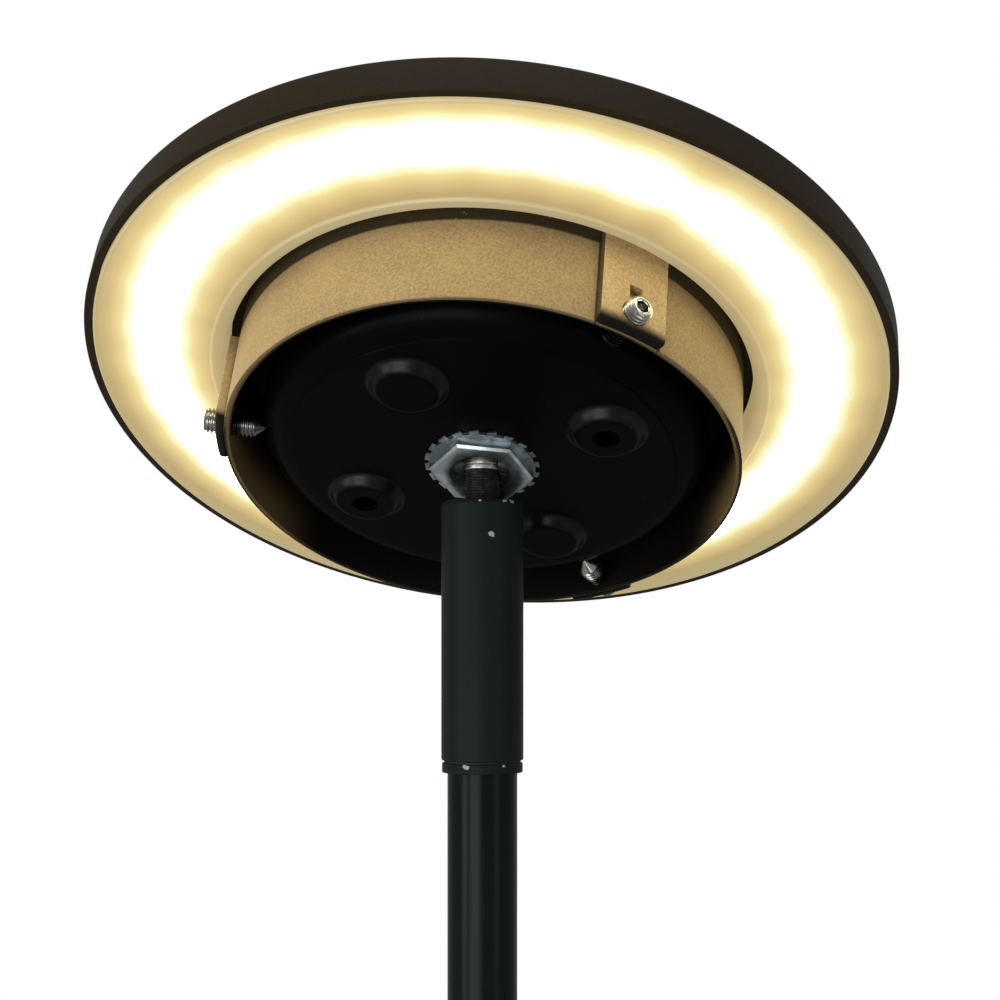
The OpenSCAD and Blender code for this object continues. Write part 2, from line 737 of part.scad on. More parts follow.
module stud_nut() {
    color("#b9bcc0") difference() {
        translate([0, 0, stud_nut_z]) cylinder(r = stud_nut_af / 2 / cos(30), h = stud_nut_t, $fn = 6);
        translate([0, 0, stud_nut_z - cut]) cylinder(r = tail_r + turn_gap / 2, h = stud_nut_t + 2 * cut);
    }
}

// Sleeve: closed at the top round the stud, open below for the tube
module sleeve() {
    color("#2b2e31") difference() {
        rotate_extrude() difference() {
            union() {
                translate([0, sleeve_low_z + sleeve_foot_r])
                    square([sleeve_r, sleeve_l - sleeve_edge_r - sleeve_foot_r]);
                translate([0, sleeve_low_z]) square([sleeve_r - sleeve_edge_r, sleeve_l]);
                translate([sleeve_r - sleeve_edge_r, sleeve_top_z - sleeve_edge_r]) circle(r = sleeve_edge_r);
                translate([sleeve_r - sleeve_foot_r, sleeve_low_z + sleeve_foot_r]) circle(r = sleeve_foot_r);
                translate([0, sleeve_low_z]) square([sleeve_r - sleeve_foot_r, sleeve_foot_r]);
            }
            translate([0, sleeve_low_z - cut]) square([sleeve_in_r, sleeve_l - sleeve_top_t + cut]);
            translate([0, ledge_z]) square([stud_thread_r + turn_gap, ledge_depth + cut]);
            translate([0, sleeve_low_z]) square([tail_r + turn_gap, sleeve_l + cut]);
        }
        for (z = pole_screw_zs) translate([0, 0, z]) rotate([-90, 0, 0])
            cylinder(d = pole_screw_d, h = sleeve_r + cut);
    }
}

module groove_ring() {
    color("#0c0c0c") pipe(sleeve_r - groove_depth, collar_in_r, collar_top_z, sleeve_low_z);
}

// Collar: a narrow ring with small round edges
module collar() {
    edge_r = 0.3;
    color("#2b2e31") rotate_extrude() {
        translate([collar_in_r, collar_low_z]) square([collar_wall - edge_r, collar_h]);
        translate([collar_in_r, collar_low_z + edge_r]) square([collar_wall, collar_h - 2 * edge_r]);
        for (z = [collar_low_z + edge_r, collar_top_z - edge_r])
            translate([collar_r - edge_r, z]) circle(r = edge_r);
    }
}

module tube() {
    color("#1d2022") difference() {
        pipe(tube_r, tube_in_r, hub_floor, tube_top_z);
        for (z = pole_screw_zs) translate([0, 0, z]) rotate([-90, 0, 0]) cylinder(d = pole_screw_d, h = tube_r + cut);
        translate([0, 0, outlet_z]) rotate([-90, 0, 0]) cylinder(r = grommet_r, h = tube_r + cut);
        for (a = [0, 180]) rotate([0, 0, a]) translate([0, 0, hub_screw_z]) rotate([0, 90, 0])
            cylinder(d = hub_screw_d, h = tube_r + cut);
    }
}

// Two hex-socket screws through sleeve and tube at the back
module pole_screws() {
    color("#6f7478") for (z = pole_screw_zs) translate([0, sleeve_r - 0.1, z]) rotate([90, 0, 0]) difference() {
        cylinder(d = pole_screw_d, h = pole_screw_l);
        translate([0, 0, -cut]) cylinder(d = pole_screw_d / 2 / cos(30), h = cut + 1.6, $fn = 6);
    }
}

// Hub: ground flange, flared post with the tube's socket and the cable outlet, and a plug below
module hub() {
    flange_r = flange_d / 2;
    color("#1a1a1a") difference() {
        union() {
            rotate_extrude() polygon([
                [0, 0], [flange_r - 0.5, 0], [flange_r, 0.5], [flange_r, ground_flange_t - 1.5],
                [flange_r - 1.5, ground_flange_t], [hub_foot_r + 4, ground_flange_t + 0.6],
                [hub_foot_r, ground_flange_t + 4], [hub_top_r, hub_h - 1], [hub_top_r - 1, hub_h], [0, hub_h]
            ]);
            translate([0, 0, -plug_l]) cylinder(r = plug_r, h = plug_l + cut);
            translate([0, 0, outlet_z]) rotate([-90, 0, 0]) cylinder(r = grommet_r + 2.5, h = hub_foot_r);
        }
        translate([0, 0, hub_floor]) cylinder(r = hub_bore_r, h = hub_h);
        translate([0, 0, outlet_z]) rotate([-90, 0, 0]) cylinder(r = grommet_r, h = hub_foot_r + cut);
        for (a = [0, 180]) rotate([0, 0, a]) translate([0, 0, hub_screw_z]) rotate([0, 90, 0])
            cylinder(d = hub_screw_d, h = hub_foot_r + cut);
        translate([0, 0, bolt_z]) rotate([0, 90, 0]) cylinder(d = bolt_d + slide_gap, h = 2 * plug_d, center = true);
    }
}

// Two hex-socket screws that clamp the tube in the hub
module hub_screws() {
    screw_l = hub_top_r - tube_in_r - 0.3;
    color("#6f7478") for (a = [0, 180]) rotate([0, 0, a]) translate([tube_in_r + 0.1, 0, hub_screw_z])
        rotate([0, 90, 0]) difference() {
            cylinder(d = hub_screw_d, h = screw_l);
            translate([0, 0, screw_l - 2]) cylinder(d = hub_screw_d / 2 / cos(30), h = 2 + cut, $fn = 6);
        }
}

// Grommet: a rubber bush with a rim outside the hub
module cable_grommet() {
    rim_y = hub_foot_r;
    color("#101010") translate([0, 0, outlet_z]) rotate([-90, 0, 0]) difference() {
        union() {
            translate([0, 0, tube_in_r + 0.5]) cylinder(r = grommet_r, h = rim_y - tube_in_r - 0.5);
            translate([0, 0, rim_y]) cylinder(r1 = grommet_out_r, r2 = grommet_out_r - 0.6, h = grommet_rim_t);
        }
        cylinder(d = grommet_bore, h = rim_y + grommet_rim_t + cut);
    }
}

// Spike: a socket for the plug, and four fins that taper to a point
module spike() {
    color("#1c1c1c") difference() {
        union() {
            translate([0, 0, -spike_socket_l]) cylinder(r1 = spike_top_r - 1, r2 = spike_top_r, h = spike_socket_l);
            for (a = [0, 90]) rotate([90, 0, a + 45]) translate([0, 0, -fin_t / 2]) linear_extrude(fin_t) polygon([
                [-spike_top_r + 2, blade_top_z], [spike_top_r - 2, blade_top_z],
                [blade_w / 2, blade_step_z], [fin_tip_w / 2, 4 - spike_l], [0, -spike_l],
                [-fin_tip_w / 2, 4 - spike_l], [-blade_w / 2, blade_step_z]
            ]);
        }
        translate([0, 0, -plug_l - 0.5]) cylinder(r = spike_bore_r, h = plug_l + 0.5 + cut);
        translate([0, 0, bolt_z]) rotate([0, 90, 0]) cylinder(d = bolt_d + slide_gap, h = 3 * plug_d, center = true);
    }
}

// Cross bolt through spike and plug
module spike_bolt() {
    reach = spike_top_r;
    color("#b9bcc0") translate([-reach, 0, bolt_z]) rotate([0, 90, 0]) {
        translate([0, 0, -bolt_head_t]) cylinder(d = bolt_head_d, h = bolt_head_t);
        cylinder(d = bolt_d, h = 2 * reach + bolt_d);
    }
}

module spike_nut() {
    color("#b9bcc0") translate([spike_top_r, 0, bolt_z]) rotate([0, 90, 0]) difference() {
        cylinder(d = bolt_head_d / cos(30), h = 0.8 * bolt_d, $fn = 6);
        translate([0, 0, -cut]) cylinder(r = bolt_d / 2 + 0.03, h = bolt_d + 2 * cut);
    }
}

shell();
led_board();
leds();
board_screws();
diffuser();
outer_seal();
inner_seal();
drum();
flange_screws();
bracket_1();
bracket_2();
bracket_3();
grub_screws();
canopy();
lock_washer();
hex_nut();
swivel_socket();
pivot_pins();
friction_pads();
socket_cap();
driver();
terminal_block();
adhesive_pads();
swivel_stud();
stud_washer();
stud_nut();
sleeve();
groove_ring();
collar();
tube();
pole_screws();
hub();
hub_screws();
cable_grommet();
spike();
spike_bolt();
spike_nut();
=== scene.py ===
"""Garden spike light: a ring-lit head on a tilting knuckle, over a tube pole and a ground spike."""

import json
import logging
import math
from dataclasses import dataclass
from enum import Enum
from functools import cache, cached_property

import bmesh
import bpy
from mathutils import Matrix, Vector


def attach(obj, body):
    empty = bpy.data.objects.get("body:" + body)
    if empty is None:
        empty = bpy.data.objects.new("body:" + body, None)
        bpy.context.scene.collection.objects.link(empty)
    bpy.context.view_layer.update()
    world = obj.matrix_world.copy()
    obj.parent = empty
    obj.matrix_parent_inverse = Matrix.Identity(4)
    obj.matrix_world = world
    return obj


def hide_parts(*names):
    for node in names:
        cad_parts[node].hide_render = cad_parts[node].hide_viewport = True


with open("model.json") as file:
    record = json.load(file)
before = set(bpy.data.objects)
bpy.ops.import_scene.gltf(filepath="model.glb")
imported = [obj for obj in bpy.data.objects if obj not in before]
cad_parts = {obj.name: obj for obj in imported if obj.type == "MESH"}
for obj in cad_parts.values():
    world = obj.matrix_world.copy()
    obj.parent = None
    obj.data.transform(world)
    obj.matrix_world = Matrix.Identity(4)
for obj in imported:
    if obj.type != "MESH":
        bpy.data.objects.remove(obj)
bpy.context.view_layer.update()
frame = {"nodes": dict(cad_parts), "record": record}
SLOTS = {row["node"]: row["material_slot"] for row in frame["record"]["subparts"]}

MM = 0.001
PIVOT_Z = 0.540
LEAN = math.radians(30)
HEAD = Matrix.Translation((0, 0, PIVOT_Z)) @ Matrix.Rotation(-LEAN, 4, "X")
CLAMP_TURNS = (68.0, 193.0, 309.0)
BOSS_TURNS = (68.0, 158.0, 248.0, 338.0)
BOSS_CIRCLE = 34.0
LOG = logging.getLogger("spike_light")

Point = tuple[float, float]
Span = tuple[float, float]
Place = tuple[float, float, float]
Colour = tuple[float, float, float]
Mark = tuple[float, float, float, float]
Stop = tuple[float, Colour]


class Body(Enum):
    """The rigid bodies that pieces ride on."""

    POLE = "pole"
    STEM = "stem"
    HEAD = "head"


class Look(Enum):
    """The finishes that some pieces have in place of their slot's own."""

    SLOT = ""
    BRACKET = "bracket_coat"
    SCREW = "screw_zinc"
    WASHER = "dull_zinc"
    KNUCKLE = "rough_zinc"
    THREAD = "stud_black"


# Shader tools


class Signal:
    """One number in a shader, for use in plain arithmetic."""

    def __init__(self, web: "Web", socket: bpy.types.NodeSocket) -> None:
        """Wraps an output socket of a node web."""
        self.web = web
        self.socket = socket

    def _math(self, operation: str, *others: "Signal | float", clamp: bool = False) -> "Signal":
        """Adds a Math node.

        Args:
            operation: The node's operation.
            others: The second and third inputs.
            clamp: Whether the result stays between 0 and 1.

        Returns:
            The node's value.
        """
        settings = {"operation": operation, "use_clamp": clamp}
        return self.web.add("ShaderNodeMath", settings, {0: self, **dict(enumerate(others, 1))}).out()

    def __add__(self, other: "Signal | float") -> "Signal":
        """Adds."""
        return self._math("ADD", other)

    __radd__ = __add__

    def __mul__(self, other: "Signal | float") -> "Signal":
        """Multiplies."""
        return self._math("MULTIPLY", other)

    __rmul__ = __mul__

    def __sub__(self, other: "Signal | float") -> "Signal":
        """Subtracts."""
        return self._math("SUBTRACT", other)

    def __rsub__(self, other: float) -> "Signal":
        """Subtracts this from a number."""
        return -self + other

    def __neg__(self) -> "Signal":
        """Turns the sign."""
        return self * -1.0

    def __truediv__(self, other: "Signal | float") -> "Signal":
        """Divides."""
        return self._math("DIVIDE", other)

    def clamped(self) -> "Signal":
        """Keeps the value between 0 and 1."""
        return self._math("ADD", 0.0, clamp=True)

    def cosine(self) -> "Signal":
        """Takes the cosine."""
        return self._math("COSINE")

    def root(self) -> "Signal":
        """Takes the square root."""
        return self._math("SQRT")

    def size(self) -> "Signal":
        """Drops the sign."""
        return self._math("ABSOLUTE")

    def most(self, other: "Signal | float") -> "Signal":
        """Takes the greater of the two."""
        return self._math("MAXIMUM", other)

    def angle_with(self, other: "Signal") -> "Signal":
        """Takes the angle whose tangent is this over the other."""
        return self._math("ARCTAN2", other)

    def past(self, degrees: float) -> "Signal":
        """Gives how far this angle is past a turn in degrees, in radians."""
        return self - math.radians((degrees + 180) % 360 - 180)

    def step(self, low: float, high: float) -> "Signal":
        """Ramps from 0 at low to 1 at high, with soft ends.

        Args:
            low: The value that gives 0.
            high: The value that gives 1, which may be below low.

        Returns:
            The ramped value.
        """
        settings = {"interpolation_type": "SMOOTHSTEP", "clamp": True}
        ends = {1: low, 2: high, 3: 0.0, 4: 1.0} if low < high else {1: high, 2: low, 3: 1.0, 4: 0.0}
        return self.web.add("ShaderNodeMapRange", settings, {0: self, **ends}).out()


class Step:
    """One node, with its outputs at hand."""

    def __init__(self, web: "Web", node: bpy.types.Node) -> None:
        """Wraps a node."""
        self.web = web
        self.node = node

    def out(self, name: "str | int" = 0) -> Signal:
        """Gives one output by name or number."""
        return Signal(self.web, self.node.outputs[name])


class Web:
    """The node tree of one finish, or of the world."""

    def __init__(self, owner: "bpy.types.Material | bpy.types.World") -> None:
        """Takes over an owner's nodes, with its one shader.

        Args:
            owner: The new material or world.
        """
        owner.use_nodes = True
        self.owner = owner
        self.tree = owner.node_tree
        self.shader = next(n for n in self.tree.nodes if n.type in ("BSDF_PRINCIPLED", "BACKGROUND"))

    @classmethod
    def of_material(cls, name: str) -> "Web":
        """Starts the web of a new material."""
        return cls(bpy.data.materials.new(name))

    @cached_property
    def place(self) -> Signal:
        """Gives the point on the surface, in metres."""
        return self.add("ShaderNodeTexCoord").out("Object")

    def add(self, kind: str, settings: "dict | None" = None, inputs: "dict | None" = None) -> Step:
        """Adds a node.

        Args:
            kind: The node's type.
            settings: Properties to set first; "stops" sets a ramp's stops.
            inputs: Socket name or number to a value or a signal.

        Returns:
            The node.
        """
        node = self.tree.nodes.new(kind)
        for key, value in (settings or {}).items():
            if key == "stops":
                self._set_stops(node.color_ramp, value)
            else:
                setattr(node, key, value)
        for key, value in (inputs or {}).items():
            self.feed(node.inputs[key], value)
        return Step(self, node)

    @staticmethod
    def _set_stops(ramp: bpy.types.ColorRamp, stops: "list[Stop]") -> None:
        """Writes a ramp's stops.

        Args:
            ramp: The ramp.
            stops: Position and colour of each stop, in order.
        """
        while len(ramp.elements) < len(stops):
            ramp.elements.new(1.0)
        for element, (position, colour) in zip(ramp.elements, stops):
            element.position = position
            element.color = (*colour, 1.0)

    def feed(self, socket: bpy.types.NodeSocket, value: object) -> None:
        """Links a signal to a socket, or sets its value.

        Args:
            socket: The input socket.
            value: A signal, a number or a colour.
        """
        if isinstance(value, Signal):
            self.tree.links.new(value.socket, socket)
        elif isinstance(value, tuple) and len(value) == 3 and socket.type == "RGBA":
            socket.default_value = (*value, 1.0)
        else:
            socket.default_value = value

    def noise(self, scale: float, detail: float = 2.0, rough: float = 0.5) -> Signal:
        """Adds noise over the surface.

        Args:
            scale: Noise cells per metre.
            detail: Number of octaves.
            rough: Strength of the finer octaves.

        Returns:
            The noise, about 0 to 1.
        """
        inputs = {"Vector": self.place, "Scale": scale, "Detail": detail, "Roughness": rough}
        return self.add("ShaderNodeTexNoise", {}, inputs).out()

    def specks(self, scale: float, radius: float) -> Signal:
        """Adds scattered round specks.

        Args:
            scale: Cells per metre.
            radius: A speck's radius, as a share of a cell.

        Returns:
            1 in a speck and 0 outside.
        """
        cells = self.add("ShaderNodeTexVoronoi", {"feature": "F1"}, {"Vector": self.place, "Scale": scale})
        return cells.out("Distance").step(radius, radius * 0.6)

    def blend(self, factor: "Signal | float", low: "Signal | Colour", high: "Signal | Colour") -> Signal:
        """Mixes two colours.

        Args:
            factor: 0 for the first and 1 for the second.
            low: The first colour.
            high: The second colour.

        Returns:
            The mixed colour.
        """
        return self.add("ShaderNodeMix", {"data_type": "RGBA"}, {0: factor, 6: low, 7: high}).out(2)

    def ramp(self, factor: Signal, stops: "list[Stop]") -> Signal:
        """Reads a colour ramp at a factor."""
        return self.add("ShaderNodeValToRGB", {"stops": stops}, {"Fac": factor}).out()

    def axes(self, place: Signal) -> "tuple[Signal, Signal, Signal]":
        """Splits a point into X, Y and Z."""
        split = self.add("ShaderNodeSeparateXYZ", {}, {0: place})
        return split.out(0), split.out(1), split.out(2)

    def head_axes(self) -> "tuple[Signal, Signal, Signal]":
        """Gives the surface point in the leaning head's own frame.

        Returns:
            X, Y and Z, in metres.
        """
        back = HEAD.inverted()
        shift, turn = tuple(back.to_translation()), tuple(back.to_euler())
        inputs = {"Vector": self.place, "Location": shift, "Rotation": turn}
        return self.axes(self.add("ShaderNodeMapping", {"vector_type": "POINT"}, inputs).out())

    def bump(self, height: Signal, distance: float, strength: float) -> None:
        """Bumps the surface.

        Args:
            height: The bump's height, 0 to 1.
            distance: The height in metres that 1 stands for.
            strength: How strongly it shows.
        """
        inputs = {"Height": height, "Distance": distance, "Strength": strength}
        self.feed(self.shader.inputs["Normal"], self.add("ShaderNodeBump", {}, inputs).out())

    def dress(self, **sockets: object) -> "bpy.types.Material | bpy.types.World":
        """Sets the shader's sockets.

        Args:
            **sockets: Socket names, with _ for a space, and their values.

        Returns:
            The finished material or world.
        """
        for name, value in sockets.items():
            self.feed(self.shader.inputs[name.replace("_", " ")], value)
        return self.owner


def toned(colour: Colour, share: float) -> Colour:
    """Makes a colour darker or lighter by a share."""
    return tuple(c * share for c in colour)


def length(x: Signal, y: Signal) -> Signal:
    """Gives how long a step of x and y is."""
    return (x * x + y * y).root()


# Finishes


@dataclass(frozen=True)
class Grain:
    """The grain that a powder coat dries with."""

    cells: float
    depth: float
    strength: float
    share: float
    span: Span
    mottle: float

    def on(self, web: Web, colour: Colour, cloud: Signal) -> Signal:
        """Bumps and mottles a surface.

        Args:
            web: The coat's node web.
            colour: The coat's colour.
            cloud: Broad noise that the mottle follows too.

        Returns:
            The mottled colour.
        """
        grain = web.noise(self.cells, 2.0, 0.55)
        web.bump(grain, self.depth, self.strength)
        tone = (grain * self.share + cloud * (1 - self.share)).step(*self.span)
        return web.blend(tone, toned(colour, 1 - self.mottle), toned(colour, 1 + self.mottle))


@dataclass(frozen=True)
class PowderCoat:
    """Powder coat of one colour."""

    name: str
    colour: Colour
    roughness: float
    specular: float
    grain: Grain
    uneven: float = 0.12

    def make(self) -> bpy.types.Material:
        """Builds the material.

        Returns:
            The material.
        """
        web = Web.of_material(self.name)
        cloud = web.noise(60.0, 3.0)
        return web.dress(
            Base_Color=self.shade(web, self.grain.on(web, self.colour, cloud), cloud),
            Roughness=cloud * self.uneven + (self.roughness - self.uneven / 2),
            Specular_IOR_Level=self.specular,
        )

    def shade(self, web: Web, coat: Signal, cloud: Signal) -> Signal:
        """Gives the coat's colour over the surface, which is even unless a kind of coat says otherwise."""
        return coat


@dataclass(frozen=True)
class DrumCoat(PowderCoat):
    """Bronze powder coat of the drum, with painted shade inside, at the rim and behind the diffuser."""

    # Painted shade: the drum's inside, its rim, the gap behind the diffuser and the brackets' joints take
    # this colour.
    inside: Colour = (0.0045, 0.0038, 0.0028)
    # Painted glare of the lit ring: a lighter brown low inside the drum.
    painted_glare_colour: Colour = (0.15, 0.10, 0.04)
    fluff: Colour = (0.3, 0.27, 0.2)
    wall_r: Span = (0.0622, 0.0619)
    # Painted shadow of the diffuser's inner lip, on the drum's wall just behind it.
    gap_shadow_z: Span = (0.0205, 0.0213)
    gap_shadow_waver: float = 0.0006
    gap_shadow_dark: float = 0.9
    # Painted shade on the rim's underside.
    rim_z: Span = (-0.0013, -0.0017)
    rim_shade_rise: float = 0.0006
    rim_shade_rise_y: Span = (-0.024, -0.004)
    rim_shade_dark: float = 0.93
    # Painted contact shade on the drum along each bracket's edges.
    joint_shadow_turn: float = 7.55
    joint_shadow_width: Span = (0.009, 0.004)
    joint_shadow_dark: float = 0.8
    # Where the painted glare lies: low inside, at the sides, on the near half.
    painted_glare_x: Span = (0.036, 0.058)
    painted_glare_y: Span = (0.038, 0.018)
    painted_glare_z: Span = (0.015, 0.0)

    def shade(self, web: Web, coat: Signal, cloud: Signal) -> Signal:
        """Paints shade inside, at the rim, in the gap and along the brackets, and glare low inside.

        Args:
            web: The coat's node web.
            coat: The bronze.
            cloud: Broad noise that the gap's edge follows.

        Returns:
            The colour.
        """
        x, y, z = web.head_axes()
        # Painted shade inside the drum's wall, where little light gets in.
        inside_shade = length(x, y).step(*self.wall_r)
        # Painted shadow of the diffuser's lip, with a wavering edge.
        gap = (z + cloud * self.gap_shadow_waver).step(*self.gap_shadow_z)
        # Painted shade on the rim's underside, reaching a little higher away from the near side.
        rim = (z - y.step(*self.rim_shade_rise_y) * self.rim_shade_rise).step(*self.rim_z)
        dark = inside_shade.most(gap * self.gap_shadow_dark).most(rim * self.rim_shade_dark)
        angle = y.angle_with(x)
        # Painted contact shade along both edges of each bracket.
        for turn in CLAMP_TURNS:
            joint_shadow = (angle.past(turn).size() - math.radians(self.joint_shadow_turn)).size()
            dark = dark.most(joint_shadow.step(*self.joint_shadow_width) * self.joint_shadow_dark)
        # Painted glare lightens the painted inside shade, low at the sides and on the near half.
        painted_glare = z.step(*self.painted_glare_z) * x.size().step(*self.painted_glare_x) * y.step(*self.painted_glare_y) * inside_shade
        black = web.blend(painted_glare, self.inside, self.painted_glare_colour)
        fluff = web.specks(520.0, 0.10) * web.noise(160.0, 2.0).step(0.55, 0.62) * gap
        return web.blend(fluff, web.blend(dark, coat, black), self.fluff)


@dataclass(frozen=True)
class BracketCoat(PowderCoat):
    """Powder coat of the brackets: bronze plates with painted shade on the foot and on the side faces."""

    # Painted shade on the bracket's foot and side faces takes this colour.
    foot: Colour = (0.007, 0.0055, 0.0035)
    foot_shade_z: Span = (0.0034, 0.0006)
    foot_shade_waver: float = 0.003
    # Painted shade on the side faces: heavy on one side, light on the other.
    side_shade_turn: Span = (7.43, 7.51)
    side_shade_dark: Span = (0.85, 0.25)
    reach: Span = (0.22, 0.2)

    def shade(self, web: Web, coat: Signal, cloud: Signal) -> Signal:
        """Paints shade into the coat at the foot and on the side faces.

        Args:
            web: The coat's node web.
            coat: The bronze.
            cloud: Broad noise that the foot's edge follows.

        Returns:
            The colour.
        """
        x, y, z = web.head_axes()
        # Painted shade on the downturned foot, with a wavering edge.
        dark = (z + cloud * self.foot_shade_waver).step(*self.foot_shade_z)
        angle = y.angle_with(x)
        start, end = (math.radians(turn) for turn in self.side_shade_turn)
        before, after = self.side_shade_dark
        # Painted shade on each bracket's side faces, near the bracket only.
        for turn in CLAMP_TURNS:
            past = angle.past(turn)
            side = ((-past).step(start, end) * before).most(past.step(start, end) * after)
            dark = dark.most(side * past.size().step(*self.reach))
        return web.blend(dark, coat, self.foot)


@dataclass(frozen=True)
class StampedBlack:
    """Matt black coat on stamped sheet, with a little dust, and burnished where the bosses are drawn."""

    name: str
    colour: Colour = (0.0014, 0.0014, 0.0014)
    dust: Colour = (0.12, 0.12, 0.11)
    roughness: float = 0.32
    specular: float = 0.03
    wall_top: Span = (0.0068, 0.0078)
    wall_root: Span = (0.0102, 0.0093)

    def make(self) -> bpy.types.Material:
        """Builds the material.

        Returns:
            The material.
        """
        web = Web.of_material(self.name)
        fine = web.noise(900.0, 3.0, 0.6)
        cloud = web.noise(45.0, 3.0)
        dust = web.specks(260.0, 0.055) * web.noise(140.0, 1.0).step(0.56, 0.66)
        base = web.blend(cloud.step(0.3, 0.7), self.colour, toned(self.colour, 1.5))
        web.bump(fine + cloud * 1.5, 0.00003, 0.5)
        x, y, _ = web.head_axes()
        drawn = dust * 0.0
        for a in map(math.radians, BOSS_TURNS):
            boss_x, boss_y = BOSS_CIRCLE * MM * math.cos(a), BOSS_CIRCLE * MM * math.sin(a)
            away = length(x - boss_x, y - boss_y)
            drawn = drawn.most(away.step(*self.wall_top) * away.step(*self.wall_root))
        return web.dress(
            Base_Color=web.blend(dust * 0.25, base, self.dust),
            Roughness=cloud * 0.14 + fine * 0.06 + (self.roughness - 0.1),
            Specular_IOR_Level=self.specular,
            Coat_Weight=drawn * (cloud * 0.2 + 0.2),
            Coat_Roughness=0.32,
        )


@dataclass(frozen=True)
class Lacquer:
    """Black lacquer on the pole, with small bright chips."""

    name: str
    colour: Colour
    roughness: float
    specular: float
    depth: float = 0.00002
    marks: "tuple[Mark, ...]" = ()
    bare: Colour = (0.45, 0.46, 0.47)

    def make(self) -> bpy.types.Material:
        """Builds the material.

        Returns:
            The material.
        """
        web = Web.of_material(self.name)
        cloud = web.noise(38.0, 3.0)
        fine = web.noise(1300.0, 2.0)
        chip = web.specks(210.0, 0.09) * web.noise(95.0, 1.0).step(0.74, 0.8)
        ragged = (web.noise(1100.0, 2.0) - 0.5) * 0.0016
        x, y, z = web.axes(web.place)
        for at_x, at_y, at_z, size in self.marks:
            dx, dy, dz = x - at_x * MM, y - at_y * MM, z - at_z * MM
            away = (dx * dx + dy * dy + dz * dz).root() + ragged
            chip = chip.most(away.step(size * MM, size * MM * 0.8))
        base = web.blend(cloud, self.colour, toned(self.colour, 1.25))
        web.bump(fine - chip * 2.0, self.depth, 0.4)
        return web.dress(
            Base_Color=web.blend(chip, base, self.bare),
            Roughness=cloud * 0.08 + chip * 0.1 + (self.roughness - 0.04),
            Specular_IOR_Level=self.specular,
        )


@dataclass(frozen=True)
class ZincPlate:
    """Bright zinc on steel, faintly mottled and scuffed."""

    name: str
    colour: Colour = (0.58, 0.66, 0.68)
    roughness: float = 0.34
    dirt: float = 0.25
    pits: float = 0.00004

    def make(self) -> bpy.types.Material:
        """Builds the material.

        Returns:
            The material.
        """
        web = Web.of_material(self.name)
        mottle = web.noise(420.0, 4.0, 0.6)
        web.bump(mottle, self.pits, 0.5)
        return web.dress(
            Base_Color=self.shade(web, mottle),
            Metallic=1.0,
            Roughness=mottle * 0.22 + (self.roughness - 0.1),
        )

    def shade(self, web: Web, mottle: Signal) -> Signal:
        """Stains the zinc where two noises meet.

        Args:
            web: The plate's node web.
            mottle: The fine noise.

        Returns:
            The colour.
        """
        stain = (mottle * web.noise(90.0, 2.0)).step(0.22, 0.34)
        return web.blend(stain, toned(self.colour, 1 - self.dirt), self.colour)


@dataclass(frozen=True)
class ShadedScrewZinc(ZincPlate):
    """Bright zinc of the grub screws, with painted shade where they pass through the drum."""

    pits: float = 0.00001
    # Painted shade colour for the screws where little light reaches.
    shade_colour: Colour = (0.009, 0.008, 0.0065)
    shade_strength: float = 0.98
    wall_r: Span = (0.0575, 0.0595)
    outside_r: Span = (0.0628, 0.0620)
    near_y: Span = (0.0, -0.03)

    def shade(self, web: Web, mottle: Signal) -> Signal:
        """Paints shade on the thread in the drum's wall, and on the near screw up to its point.

        Args:
            web: The plate's node web.
            mottle: The fine noise, which is not used.

        Returns:
            The colour.
        """
        x, y, _ = web.head_axes()
        radius = length(x, y)
        # Painted shade on the screws in the drum's wall, and on the near screw out to the drum's face.
        through = radius.step(*self.wall_r).most(y.step(*self.near_y)) * radius.step(*self.outside_r)
        return web.blend(through * self.shade_strength, self.colour, self.shade_colour)


@dataclass(frozen=True)
class BlackOxide:
    """Dark oxide on steel screws and threads."""

    name: str
    colour: Colour = (0.045, 0.046, 0.05)
    worn: Colour = (0.12, 0.12, 0.13)
    metal: float = 0.6
    specular: float = 0.5

    def make(self) -> bpy.types.Material:
        """Builds the material.

        Returns:
            The material.
        """
        web = Web.of_material(self.name)
        wear = web.noise(700.0, 3.0, 0.6)
        web.bump(wear, 0.00003, 0.5)
        return web.dress(
            Base_Color=web.blend(wear.step(0.45, 0.75), self.colour, self.worn),
            Metallic=self.metal,
            Roughness=wear * 0.2 + 0.32,
            Specular_IOR_Level=self.specular,
        )


@dataclass(frozen=True)
class Moulded:
    """Moulded plastic or rubber with a fine spark-eroded texture."""

    name: str
    colour: Colour
    roughness: float = 0.5
    texture: float = 1400.0
    depth: float = 0.00003

    def make(self) -> bpy.types.Material:
        """Builds the material.

        Returns:
            The material.
        """
        web = Web.of_material(self.name)
        fine = web.noise(self.texture, 2.0, 0.6)
        cloud = web.noise(40.0, 3.0)
        web.bump(fine, self.depth, 0.6)
        return web.dress(
            Base_Color=web.blend(cloud, toned(self.colour, 0.85), self.colour),
            Roughness=cloud * 0.1 + fine * 0.08 + (self.roughness - 0.09),
            Specular_IOR_Level=0.35,
        )


